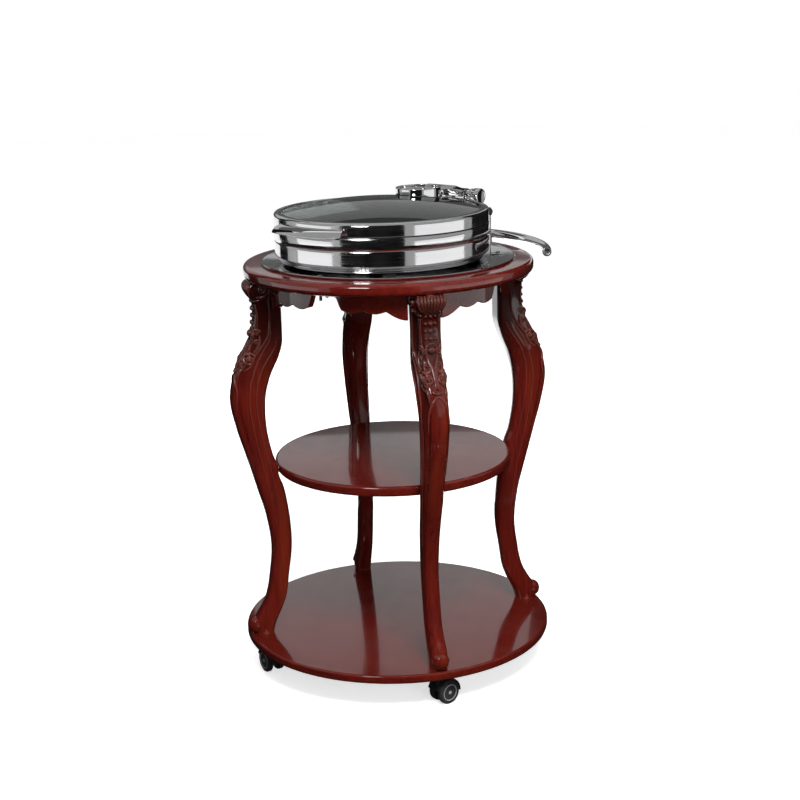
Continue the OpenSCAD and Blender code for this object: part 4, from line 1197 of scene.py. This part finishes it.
class CART_OT_lid(bpy.types.Operator):
    """Spins the lid's ring, glass, seal and boss, and shapes its lip and arm"""

    bl_idname = "cart.lid"
    bl_label = "Lid"

    def execute(self, context):
        radius = user_size("body_radius")
        low, high = lowest("lid_ring"), highest("lid_ring")
        seat, seat_z = radius - 11, high - 7
        self.ring(radius, low, high, seat, seat_z)
        edge = seat - 3
        rise = user_size("dome_rise")
        crown = high - 1 + rise
        sphere = (edge * edge + rise * rise) / (2 * rise)
        self.glass(edge, seat, seat_z, sphere, crown - sphere)
        self.boss(crown, rise, sphere, crown - sphere)
        self.lip(radius, low + 15)
        self.arm(radius, high, crown + 10)
        recoat("black silicone", "lid_gasket", "boss_seals")
        recoat("zinc plate", "boss_bolt")
        return {"FINISHED"}

    def ring(self, radius, low, high, seat, seat_z):
        """The rolled ring, with the flange that carries the glass."""
        curl_radius, wall = 6, 2
        turn_x, turn_z = radius - curl_radius, high - curl_radius
        section = [(radius, low + 0.6), (radius, low + 3)]
        section += arc(turn_x, turn_z, curl_radius, 0, 90, 10)
        section += [(seat + 0.6, high), (seat, high - 0.6)]
        section += about(seat, seat_z, (0, 0), (-4, 0), (-4, -wall), (0, -wall))
        section += [(seat, low + 9), (seat + wall, low + 9), (seat + wall, high - wall)]
        section += arc(turn_x, turn_z, curl_radius - wall, 90, 0, 8)
        section += about(radius - wall, low, (0, 0.6), (0.6, 0)) + [(radius - 0.6, low)]
        fit(turned("lid_ring_rolled", section, WARMER, steps=ROUND, closed=True),
            "lid", "polished_steel", "polished steel", "lid_ring")

    def glass(self, edge, seat, seat_z, sphere, sphere_z):
        """The domed glass, and the rubber channel round its edge."""
        thick = 4

        def dome(radius, depth):
            return radius, dome_height(radius, depth, sphere, sphere_z)

        steps = 28
        top = [dome(edge * i / steps, 0) for i in range(steps + 1)]
        under = [dome(edge * i / steps, thick) for i in range(steps, -1, -1)]
        fit(turned("lid_glass_domed", top + under, WARMER, steps=128),
            "lid", "smoked_glass", "smoked glass", "lid_glass")
        lap = edge - 2.5
        rubber = [dome(edge, thick), dome(edge, 0), dome(lap, 0)]
        rubber += about(*dome(lap, 0), (0.1, 0.7), (0.5, 1.0), (1.2, 1.1))
        rubber += [(seat, dome(edge, 0)[1] + 0.8), (seat, seat_z), (lap, seat_z), dome(lap, thick)]
        fit(turned("glass_seal_moulded", rubber, WARMER, steps=ROUND, closed=True),
            "lid", "black_rubber", "black silicone", "glass_seal")

    def boss(self, crown, rise, sphere, sphere_z):
        """The round boss, its lower edge fitted to the dome."""
        top, foot, out = crown + 11, crown - rise, BOSS_RADIUS
        floor = top - 7
        section = [(0, floor - 3)] + about(out, floor, (-3, -3), (-1.5, -4))
        section += about(out, foot, (-1.5, 0), (0, 0), (0, 4)) + arc(out - 2, top - 2, 2, 0, 90, 6)
        section += arc(out - 2.4, top - 0.6, 0.6, 90, 180, 3)
        section += about(out, floor, (-3, 1.2), (-4.2, 0)) + [(0, floor)]
        boss = turned("lid_boss_spun", section, shift(0, BOSS_FAR), steps=96)
        edit(boss)
        shape = bmesh.from_edit_mesh(boss.data)
        for point in shape.verts:
            for over, lift in ((0.5, 0), (5, 2)):
                if point.co.z < (foot + over) * MM:
                    across = point.co.xy.length / MM
                    point.co.z = (dome_height(across, -1, sphere, sphere_z) + lift) * MM
                    break
        bmesh.update_edit_mesh(boss.data)
        put_down()
        settle(boss, WARMER)
        fit(boss, "lid", "polished_steel", "polished glossy steel", "lid_boss")

    def lip(self, radius, top):
        """The lip at the front, rolled down at its edge."""
        out, sweep, front = 24, 44, 270
        section = about(
            radius, top, (0.2, -3.4), (0.2, 0), (7, -1), (0.55 * out, -3.4), (0.8 * out, -7.5),
            (0.95 * out, -11.5), (out, -14.4), (out, -16.2), (0.95 * out, -16.4),
            (0.87 * out, -14.6), (0.68 * out, -9.5), (0.45 * out, -6.2), (0.26 * out, -4.5))
        lip = turned("lid_lip_rolled", section, WARMER, steps=44, start=front - sweep / 2,
                     sweep=sweep, closed=True, angle=50)
        soften(lip, 1.0, 3, 50)
        fit(lip, "lid", "polished_steel", "polished glossy steel", "lid_lip")

    def arm(self, radius, high, top):
        """The arm from the boss to the moving knuckle."""
        hinge_u, hinge_z, knuckle, half = radius + HINGE_OUT, high + HINGE_UP, 15, 30
        near = BOSS_FAR + BOSS_RADIUS
        outline = about(near, top, (-25, 0), (20, -1), (45, -5))
        outline += about(hinge_u, hinge_z + knuckle, (-17, 2.5), (-8, 1.2), (0, -0.2))
        outline += about(hinge_u, hinge_z, (0, 0), (-14, 1), (-27, 2))
        outline += [(near + 42, hinge_z + 12)]
        outline += about(near, top, (20, -10), (-25, -8))
        arm = cut_out("arm", [(-half, u, z) for u, z in outline], (2 * half, 0, 0))
        edit(arm)
        for length, ratio in ((60, 0.88), (30, 0.91)):
            choose(lambda point, end=(near + length) * MM: point.y < end)
            bpy.ops.transform.resize(value=(ratio, 1, 1), center_override=(0, 0, 0))
        put_down()
        inside = BOSS_RADIUS - 0.7
        boss = turned("boss_cut", [(0, 900), (inside, 900), (inside, 1060), (0, 1060)],
                      shift(0, BOSS_FAR), steps=96)
        cut_with(arm, boss)
        soften(arm, 2.2, 4, 40)
        barrel = [(5.2, -half + 0.1), (knuckle - 1.2, -half + 0.1), (knuckle, -half + 1.2),
                  (knuckle, half - 1.2), (knuckle - 1.2, half - 0.1), (5.2, half - 0.1)]
        axis = shift(0, hinge_u, hinge_z) @ turn(90, "Y")
        moving = turned("knuckle", barrel, axis, steps=72, closed=True)
        whole = settle(join("lid_arm_shaped", [arm, moving]), WARMER)
        smooth(whole, 40)
        fit(whole, "lid", "polished_steel", "polished glossy steel", "lid_arm")


# Hinge


class CART_OT_hinge(bpy.types.Operator):
    """Shapes the hinge's bracket and end barrels, and finishes its washers, pin and screws"""

    bl_idname = "cart.hinge"
    bl_label = "Hinge"

    def execute(self, context):
        radius = user_size("body_radius")
        hinge_u, hinge_z = radius + HINGE_OUT, highest("lid_ring") + HINGE_UP
        low, high = (lowest("warmer_shell") + value for value in (17, 42))
        axis = shift(0, hinge_u, hinge_z) @ turn(90, "Y")

        corners = [(-50, -10), (50, -10), (50, 5), (-50, 5)]
        pad = cut_out("pad", [(x, radius + y, low) for x, y in corners], (0, 0, high - low))
        face = radius + 0.15
        drum = turned("drum", [(0, 800), (face, 800), (face, 1000), (0, 1000)], steps=256)
        cut_with(pad, drum)
        parts = [soften(pad, 1.2, 3, 50)]
        cheek = [(radius + 1.3, low), (hinge_u - 9, low), (hinge_u - 6, low + 2)]
        cheek += about(hinge_u, hinge_z, (6, -30), (12.5, -18), (13.8, -8), (14, 0), (-14, 0))
        cheek += [(radius + 1.3, hinge_z - 22)]
        for near in (36, -48):
            plate = cut_out("cheek", [(near, u, z) for u, z in cheek], (12, 0, 0))
            parts.append(soften(plate, 1.6, 3, 40))
        neck = [(5.1, 33.4), (13.2, 33.4), (14, 34.2), (14, 40.4), (15, 41), (15.5, 41.8),
                (15.5, 44.2), (15, 45), (14, 45.6), (14, 50), (5.1, 50)]
        for side in (-1, 1):
            parts.append(turned("neck", set_off(neck, side), axis, steps=72, closed=True))
        bracket = settle(join("hinge_bracket_cast", parts), WARMER)
        smooth(bracket, 40)
        fit(bracket, "cart", "polished_steel", "polished glossy steel", "hinge_bracket")

        barrel = [(0, 50), (16, 50), (16.7, 50.4), (17, 51.1), (17, 62.5)]
        barrel += arc(14, 64, 3, 10, 80, 6) + [(13.2, 67), (12.4, 66.6), (11.6, 66.4), (0, 66.2)]
        barrels = [
            turned("barrel", set_off(barrel, side), WARMER @ axis, steps=72) for side in (-1, 1)]
        fit(join("hinge_end_barrels_turned", barrels), "cart", "polished_steel",
            "polished glossy steel", "hinge_end_barrels")
        recoat("black nylon", "hinge_washers")
        recoat("zinc plate", "hinge_pin", "bracket_screws")
        return {"FINISHED"}


# Side guides


class CART_OT_guides(bpy.types.Operator):
    """Bends the two side guides and moulds their tips"""

    bl_idname = "cart.guides"
    bl_label = "Side guides"

    def execute(self, context):
        low, high = lowest("side_guides"), highest("side_guides")
        inner = user_size("body_radius") + 1.5
        straps, tips = [], []
        for side in (-1, 1):
            place = WARMER @ turn(90 + side * 47)
            outline = about(inner, low, (0, 0), (26, 0), (26, 2), (3.2, 2), (2.3, 2.4), (2, 3.4))
            outline += about(inner, high, (2, 0), (0, 0))
            strap = cut_out("strap", [(u, -8, z) for u, z in outline], (0, 16, 0), place)
            straps.append(soften(strap, 0.5, 2, 50))
            outline = about(inner, high, (-0.5, 0), (3.0, 0), (4.2, 2))
            outline += about(inner, high + 8, *arc(-2, 0, 8, -12, 72, 8))
            outline += [(inner - 0.5, high + 15.8)]
            tip = cut_out("tip", [(u, -8, z) for u, z in outline], (0, 16, 0), place)
            tips.append(soften(tip, 1.3, 3, 50))
        fit(join("side_guides_bent", straps), "cart", "polished_steel", "polished glossy steel",
            "side_guides")
        fit(join("guide_tips_moulded", tips), "cart", "black_plastic", "black nylon", "guide_tips")
        return {"FINISHED"}


# Push handle


class CART_OT_handle(bpy.types.Operator):
    """Bends the push handle, closes its ends and sets it on two posts"""

    bl_idname = "cart.handle"
    bl_label = "Push handle"

    def execute(self, context):
        tube = user_size("handle_tube")
        low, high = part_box("push_handle")
        height = (low.z + high.z) / 2 / MM
        bend, half, post = 327, 67, 14
        self.tube(tube, height, bend, half)

        plugs = []
        for side in (-1, 1):
            dome = [(0, -8)] + about(tube / 2, 0, (-1.7, -8), (-1.7, 0), (-0.1, 0), (-0.1, 0.9),
                                     (-0.7, 1.7), (-2.4, 2.1), (-3.2, 1.6)) + [(0, 1.6)]
            place = CART @ shift(0, 0, height) @ turn(90 + side * half) @ shift(bend)
            plugs.append(turned("plug", dome, place @ turn(-90 * side, "X"), steps=40))
        fit(join("handle_plugs_pressed", plugs), "cart", "plated_steel", "zinc plate",
            "handle_plugs")

        low, under = lowest("handle_posts"), lowest("top_board")
        posts = []
        for side in (-1, 1):
            place = CART @ turn(90 + side * post)
            outline = [(266, -12), (bend, -12)] + arc(bend, 0, 12, -80, 80, 14)
            outline += [(bend, 12), (266, 12)]
            bar = cut_out("bar", [(x, y, low) for x, y in outline], (0, 0, under - low), place)
            posts.append(soften(bar, 1.4, 3, 50))
            section = [(0, low + 1), (6, low + 1)]
            section += about(0, height, (6, -11), (7.2, -10), (7.6, -8.6), (0, -8.4))
            posts.append(turned("post", section, place @ shift(bend), steps=40))
        fit(join("handle_posts_turned", posts), "cart", "polished_steel",
            "polished glossy steel", "handle_posts")
        return {"FINISHED"}

    def tube(self, tube, height, bend, half):
        """The bent tube, open at both ends, swept round the cart's axis."""
        put_down()
        bpy.ops.mesh.primitive_circle_add(
            vertices=32, radius=tube / 2 * MM, location=(bend * MM, 0, 0),
            rotation=(math.radians(90), 0, 0))
        handle = named(bpy.context.object, "push_handle_bent")
        bpy.ops.object.transform_apply(location=True, rotation=True, scale=True)
        bpy.ops.object.mode_set(mode="EDIT")
        bpy.ops.mesh.select_all(action="SELECT")
        bpy.ops.mesh.spin(steps=110, angle=-math.radians(2 * half), center=(0, 0, 0),
                          axis=(0, 0, 1))
        bpy.ops.mesh.select_all(action="SELECT")
        bpy.ops.mesh.normals_make_consistent(inside=False)
        put_down()
        wall = handle.modifiers.new("Wall", "SOLIDIFY")
        wall.thickness = 1.5 * MM
        wall.offset = -1
        take(handle)
        bpy.ops.object.modifier_apply(modifier=wall.name)
        smooth(handle, 50)
        settle(handle, CART @ shift(0, 0, height) @ turn(90 - half))
        fit(handle, "cart", "polished_steel", "polished glossy steel", "push_handle")


# Casters. The caster's own frame: swivel axis at the origin, the wheels trail along +X.


class CART_OT_casters(bpy.types.Operator):
    """Builds one caster and copies it to the four corners"""

    bl_idname = "cart.casters"
    bl_label = "Casters"

    def execute(self, context):
        wheel = user_size("wheel_radius")
        trail, width, inner = 17, 11.5, 7.4
        axle = shift(trail, 0, wheel) @ turn(90, "X")
        face = inner + width
        hood = self.hood(trail, wheel, face + 0.2)
        pair = self.wheel_pair(axle, wheel, width, inner)
        hubs = self.hub_discs(axle, face)
        for short, bearing, trails in LEGS.values():
            place = CART @ turn(bearing) @ shift(CASTER_CIRCLE) @ turn(trails - bearing)
            fit(another(hood, "caster_hood_%s_moulded" % short, place),
                "hood_" + short, "black_plastic", "black nylon", "caster_hood_" + short)
            fit(another(pair, "caster_wheels_%s_treaded" % short, place),
                "wheels_" + short, "black_tyre", "black tread", "caster_wheels_" + short)
            fit(another(hubs, "caster_axle_%s_pressed" % short, place),
                "wheels_" + short, "wheel_chrome", "bright wheel disc", "caster_axle_" + short)
        clear_away(hood, pair, hubs)
        self.plates()
        return {"FINISHED"}

    def wheel_pair(self, axle, wheel, width, inner):
        """Both wheels with their grooved treads and moulded caps."""
        edge, hub = 3, width - 1.2
        tread = [(4, 0), (wheel - edge, 0)] + arc(wheel - edge, edge, edge, -90, 0, 5)
        tread += about(wheel, 0, (0, 4.6), (-0.7, 5.2), (-0.7, 6.3), (0, 6.9))
        tread += arc(wheel - edge, width - edge, edge, 0, 90, 5)
        tread += [(20.6, width), (20, width - 0.5), (20, hub), (4, hub)]
        cap = [(0, -1.2), (20, -1.2), (20, -0.1), (19.3, 0.3), (17.4, 0.2), (17.2, -0.5),
               (15.4, -0.5), (14.6, -1.0), (9, -0.8), (5.4, 0.1), (4.0, 0.1), (3.8, -0.4),
               (0, -0.4)]
        wheels = []
        for side in (1, -1):
            wheels.append(
                turned("wheel", set_off(tread, side, inner), axle, steps=72, closed=True))
            wheels.append(turned("cap", set_off(cap, side, inner + width), axle, steps=72))
        return join("wheel_pair", wheels)

    def hub_discs(self, axle, face):
        """The bright ring and dot on both wheels, and the shaft between them."""
        ring = [(17.1, -0.7), (17.0, 0.1), (16.4, 0.45), (15.7, 0.2), (15.5, -0.7)]
        dot = [(0, -0.6), (3.7, -0.6), (3.7, -0.1), (2.6, 0.4), (0, 0.45)]
        discs = []
        for side in (1, -1):
            discs.append(turned("ring", set_off(ring, side, face), axle, steps=72, closed=True))
            discs.append(turned("dot", set_off(dot, side, face), axle, steps=24))
        shaft = turned("shaft", [(0, -face + 1), (4, -face + 1), (4, face - 1), (0, face - 1)],
                       axle, steps=32)
        return join("hub_discs", discs + [shaft])

    def hood(self, trail, wheel, half):
        """The hood: a swivel boss, a web between the wheels and a cover over them."""
        boss = turned("boss", [(4.1, 35.5), (5.9, 35.5), (6.5, 36.2), (6.5, 53.5), (15.4, 54.5),
                               (16.6, 55.4), (17, 56.4), (17, 57.8), (16.3, 58.4), (4.1, 58.4)],
                      steps=48, closed=True)
        inner = wheel + 1.5
        outline = [(-6, 36), (-6, 54.5), (6, 54.5)]
        outline += [(trail + inner * math.cos(math.radians(60)) + 1,
                     wheel + inner * math.sin(math.radians(60)) + 0.6)]
        outline += about(trail, wheel, (9, 0), (0, -8), (-9, -3))
        web = cut_out("web", [(x, -6.5, z) for x, z in outline], (0, 13, 0))
        soften(web, 0.8, 2, 40)
        section = about(inner, -half, (0, 1), (0.6, 0), (1.4, 0.1), (2.1, 1.2), (2.5, 3.5))
        section += [(inner + 2.5, 0)]
        section += about(inner, half, (2.5, -3.5), (2.1, -1.2), (1.4, -0.1), (0.6, 0), (0, -1))
        cover = turned("cover", section, shift(trail, 0, wheel) @ turn(90, "X"), steps=60,
                       start=-5, sweep=170, closed=True, angle=50)
        soften(cover, 0.7, 2, 60)
        return smooth(join("hood", [boss, web, cover]), 40)

    def plates(self):
        """The fixing plates with their ball races and swivel pins."""
        top = highest("caster_plates")
        half, thick = 24, 2.5
        corners = [(-half, -half), (half, -half), (half, half), (-half, half)]
        plate = cut_out("plate", [(x, y, top - thick) for x, y in corners], (0, 0, thick))
        edit(plate)
        choose(lambda point: abs(point.x) > 23 * MM and abs(point.y) > 23 * MM, "EDGE")
        bpy.ops.mesh.bevel(offset=4 * MM, segments=4)
        put_down()
        soften(plate, 0.5, 2, 50)
        section = about(0, top, (0, -2.6), (16.5, -2.6), (18.4, -3.2), (19, -4.2), (18.4, -5.2),
                        (17, -5.8), (16.4, -6.2), (4, -6.2))
        race = turned("race", section + [(4, 38.6), (3.4, 38.4), (0, 38.4)], steps=48)
        one = join("plate", [plate, race])
        plates = [
            another(one, "plate", CART @ turn(bearing) @ shift(CASTER_CIRCLE))
            for _, bearing, _ in LEGS.values()]
        clear_away(one)
        fit(join("caster_plates_pressed", plates), "cart", "plated_steel", "zinc plate",
            "caster_plates")


# Stage: floor and wall, cards for what shines, light and the camera


class CART_OT_stage(bpy.types.Operator):
    """Lays the pale floor and sets the soft light and the camera"""

    bl_idname = "cart.stage"
    bl_label = "Stage"

    VIEW_TURN = 29.5

    # Name, size and place in metres, lean and glow
    BACKDROPS = (("floor", 400, (0, 0, 0), 0, 0.72), ("wall", 60, (0, 18, 0), 90, 0.9))

    # Name, bearings of both ends, distance, lower and upper edge, and brightness. Bearings
    # count from the right of the view, -90 is towards the camera, and the mat lies flat.
    CARDS = (
        ("left", 138, 158, 1500, 20, 2200, 0.0),
        ("left_grey", 158, 176, 1480, 20, 2200, 0.45),
        ("middle", -131, -68, 1500, 20, 2200, 0.0),
        ("middle_grey", -68, -58, 1480, 20, 2200, 0.4),
        ("left_front", -140, -131, 1480, 20, 2200, 0.5),
        ("right", 13, 65, 1500, 20, 2200, 0.0),
        ("right_grey", 0, 13, 1480, 20, 2200, 0.35),
        ("low", -245, 65, 1000, 3, 640, 0.0),
        ("mat", -180, 180, 1000, 3, 3, 0.0),
        ("back_low", 40, 140, 14000, 10, 3500, 0.10),
        ("back", 40, 140, 14000, 3500, 8600, 0.50),
        ("back_high", 40, 140, 14000, 8600, 16000, 0.12),
        ("sparkle", -118, -104, 1450, 1250, 1600, 18.0),
    )

    # Name, place in metres, power in watts and size of each square lamp
    LAMPS = (
        ("key", (0.4, -2.1, 2.8), 130, 1.0),
        ("fill", (1.1, -2.5, 0.8), 24, 1.4),
        ("rim", (-0.8, 2.8, 1.5), 45, 1.2),
    )

    # The camera, solved from the round boards: distance and height in metres, turns in radians,
    # and focal length in pixels of a picture this wide
    CAMERA_FAR, CAMERA_HIGH = 3.1921, 1.3997
    PAN, TILT, ROLL = 0.00549, 0.25555, -0.025297
    FOCAL, PICTURE, SENSOR = 1560.64, 800, 36

    def execute(self, context):
        put_down()
        for thing in context.scene.objects:
            thing.select_set(thing.name in ("Cube", "Light", "Camera"))
        bpy.ops.object.delete()
        self.backdrops()
        self.cards()
        self.world(context)
        self.lamps()
        self.camera(context)
        return {"FINISHED"}

    def backdrops(self):
        """A wide pale floor with a barely seen grain, and a pale wall far behind it."""
        pale = bpy.context.scene.cart_colours.floor
        for name, size, place, lean, glow in self.BACKDROPS:
            put_down()
            bpy.ops.mesh.primitive_plane_add(size=size)
            plane = named(bpy.context.object, name)
            settle(plane, turn(self.VIEW_TURN) @ Matrix.Translation(place) @ turn(lean, "X"))
            finish = Finish("pale " + name)
            grain = finish.noise(finish.place, 3, 3)
            shade = finish.mix(finish.vary(grain), pale, dimmed(pale, 0.985))
            finish.set(Base_Color=shade, Roughness=0.9, Specular_IOR_Level=0.1,
                       Emission_Color=shade, Emission_Strength=glow)
            plane.data.materials.append(finish.material)
            plane.visible_diffuse = False

    def cards(self):
        """Cards round the warmer that only reflections see, in the steel, glass and lacquer."""
        place = Matrix.Translation(WARMER.translation) @ turn(self.VIEW_TURN)
        for name, start, end, far, low, high, shade in self.CARDS:
            near = far if low < high else 1
            card = draw("card_" + name, [(near, 0, low), (far, 0, high)])
            bpy.ops.mesh.spin(steps=24, angle=-math.radians(end - start), center=(0, 0, 0),
                              axis=(0, 0, 1))
            put_down()
            settle(card, place @ turn(start))
            finish = Finish("card " + name)
            weave = finish.vary(finish.noise(finish.place, 5, 2))
            dim = finish.mix(weave, (shade + 0.004,) * 3, (shade * 0.8 + 0.012,) * 3)
            finish.set(Base_Color=(0, 0, 0), Roughness=1.0, Specular_IOR_Level=0.0,
                       Emission_Color=dim, Emission_Strength=1.0)
            card.data.materials.append(finish.material)
            card.visible_camera = False
            card.visible_diffuse = False
            card.visible_shadow = False
            card.visible_transmission = False

    def world(self, context):
        """A pale sky over dark ground."""
        world = bpy.data.worlds.new("pale room")
        context.scene.world = world
        world.use_nodes = True
        tree = world.node_tree
        backdrop = tree.nodes["Background"]
        way = tree.nodes.new("ShaderNodeTexCoord")
        parts = tree.nodes.new("ShaderNodeSeparateXYZ")
        band = tree.nodes.new("ShaderNodeMapRange")
        tree.links.new(way.outputs["Generated"], parts.inputs[0])
        tree.links.new(parts.outputs["Z"], band.inputs[0])
        # From just under the horizon to just over it, the strength rises between these
        for socket, value in ((1, -0.02), (2, 0.05), (3, 0.05), (4, 0.34)):
            band.inputs[socket].default_value = value
        tree.links.new(band.outputs[0], backdrop.inputs["Strength"])
        backdrop.inputs["Color"].default_value = (1, 1, 1, 1)
        context.scene.view_settings.view_transform = "Standard"

    def lamps(self):
        """Large soft lamps that aim at the cart's middle and stay out of reflections."""
        view = CART @ turn(self.VIEW_TURN)
        for name, place, power, size in self.LAMPS:
            put_down()
            place = view @ Vector(place)
            bpy.ops.object.light_add(type="AREA", location=place)
            lamp = bpy.context.object
            lamp.name = name
            lamp.data.energy = power
            lamp.data.size = size
            lamp.visible_glossy = False
            aim = Vector((0, 0, 0.5)) - place
            lamp.rotation_mode = "QUATERNION"
            lamp.rotation_quaternion = aim.to_track_quat("-Z", "Y")

    def camera(self, context):
        """The camera at the photograph's viewing angle."""
        put_down()
        bpy.ops.object.camera_add()
        camera = context.object
        camera.data.sensor_width = self.SENSOR
        camera.data.lens = self.FOCAL / self.PICTURE * self.SENSOR
        pan, tilt, roll = self.PAN, self.TILT, self.ROLL
        ahead = Vector((math.sin(pan) * math.cos(tilt), math.cos(pan) * math.cos(tilt),
                        -math.sin(tilt)))
        right = Vector((math.cos(pan), -math.sin(pan), 0))
        above = right.cross(ahead)
        side = math.cos(roll) * right + math.sin(roll) * above
        up = -math.sin(roll) * right + math.cos(roll) * above
        pose = Matrix((side, up, -ahead)).transposed().to_4x4()
        pose.translation = (0, -self.CAMERA_FAR, self.CAMERA_HIGH)
        camera.matrix_world = CART @ turn(self.VIEW_TURN) @ pose
        camera.data.clip_start, camera.data.clip_end = 0.05, 100
        context.scene.camera = camera


OPERATORS = (
    CART_OT_stage, CART_OT_boards, CART_OT_legs, CART_OT_aprons, CART_OT_tray, CART_OT_warmer,
    CART_OT_lid, CART_OT_hinge, CART_OT_guides, CART_OT_handle, CART_OT_casters,
)


class CART_PT_panel(bpy.types.Panel):
    """Lists the cart's pieces, sizes and colours"""

    bl_idname = "CART_PT_panel"
    bl_label = "Food warmer cart"
    bl_space_type = "VIEW_3D"
    bl_region_type = "UI"
    bl_category = "Cart"

    def draw(self, context):
        column = self.layout.column(align=True)
        for operator in OPERATORS:
            column.operator(operator.bl_idname)
        for group in (context.scene.cart_sizes, context.scene.cart_colours):
            column = self.layout.column(align=True)
            for name in group.__annotations__:
                column.prop(group, name)


CLASSES = (CartSizes, CartColours, *OPERATORS, CART_PT_panel)


def register():
    for cls in CLASSES:
        bpy.utils.register_class(cls)
    bpy.types.Scene.cart_sizes = bpy.props.PointerProperty(type=CartSizes)
    bpy.types.Scene.cart_colours = bpy.props.PointerProperty(type=CartColours)


def unregister():
    del bpy.types.Scene.cart_colours
    del bpy.types.Scene.cart_sizes
    for cls in reversed(CLASSES):
        bpy.utils.unregister_class(cls)


def main():
    register()
    for operator in OPERATORS:
        group, name = operator.bl_idname.split(".")
        getattr(getattr(bpy.ops, group), name)()
    put_down()


if __name__ == "__main__":
    main()
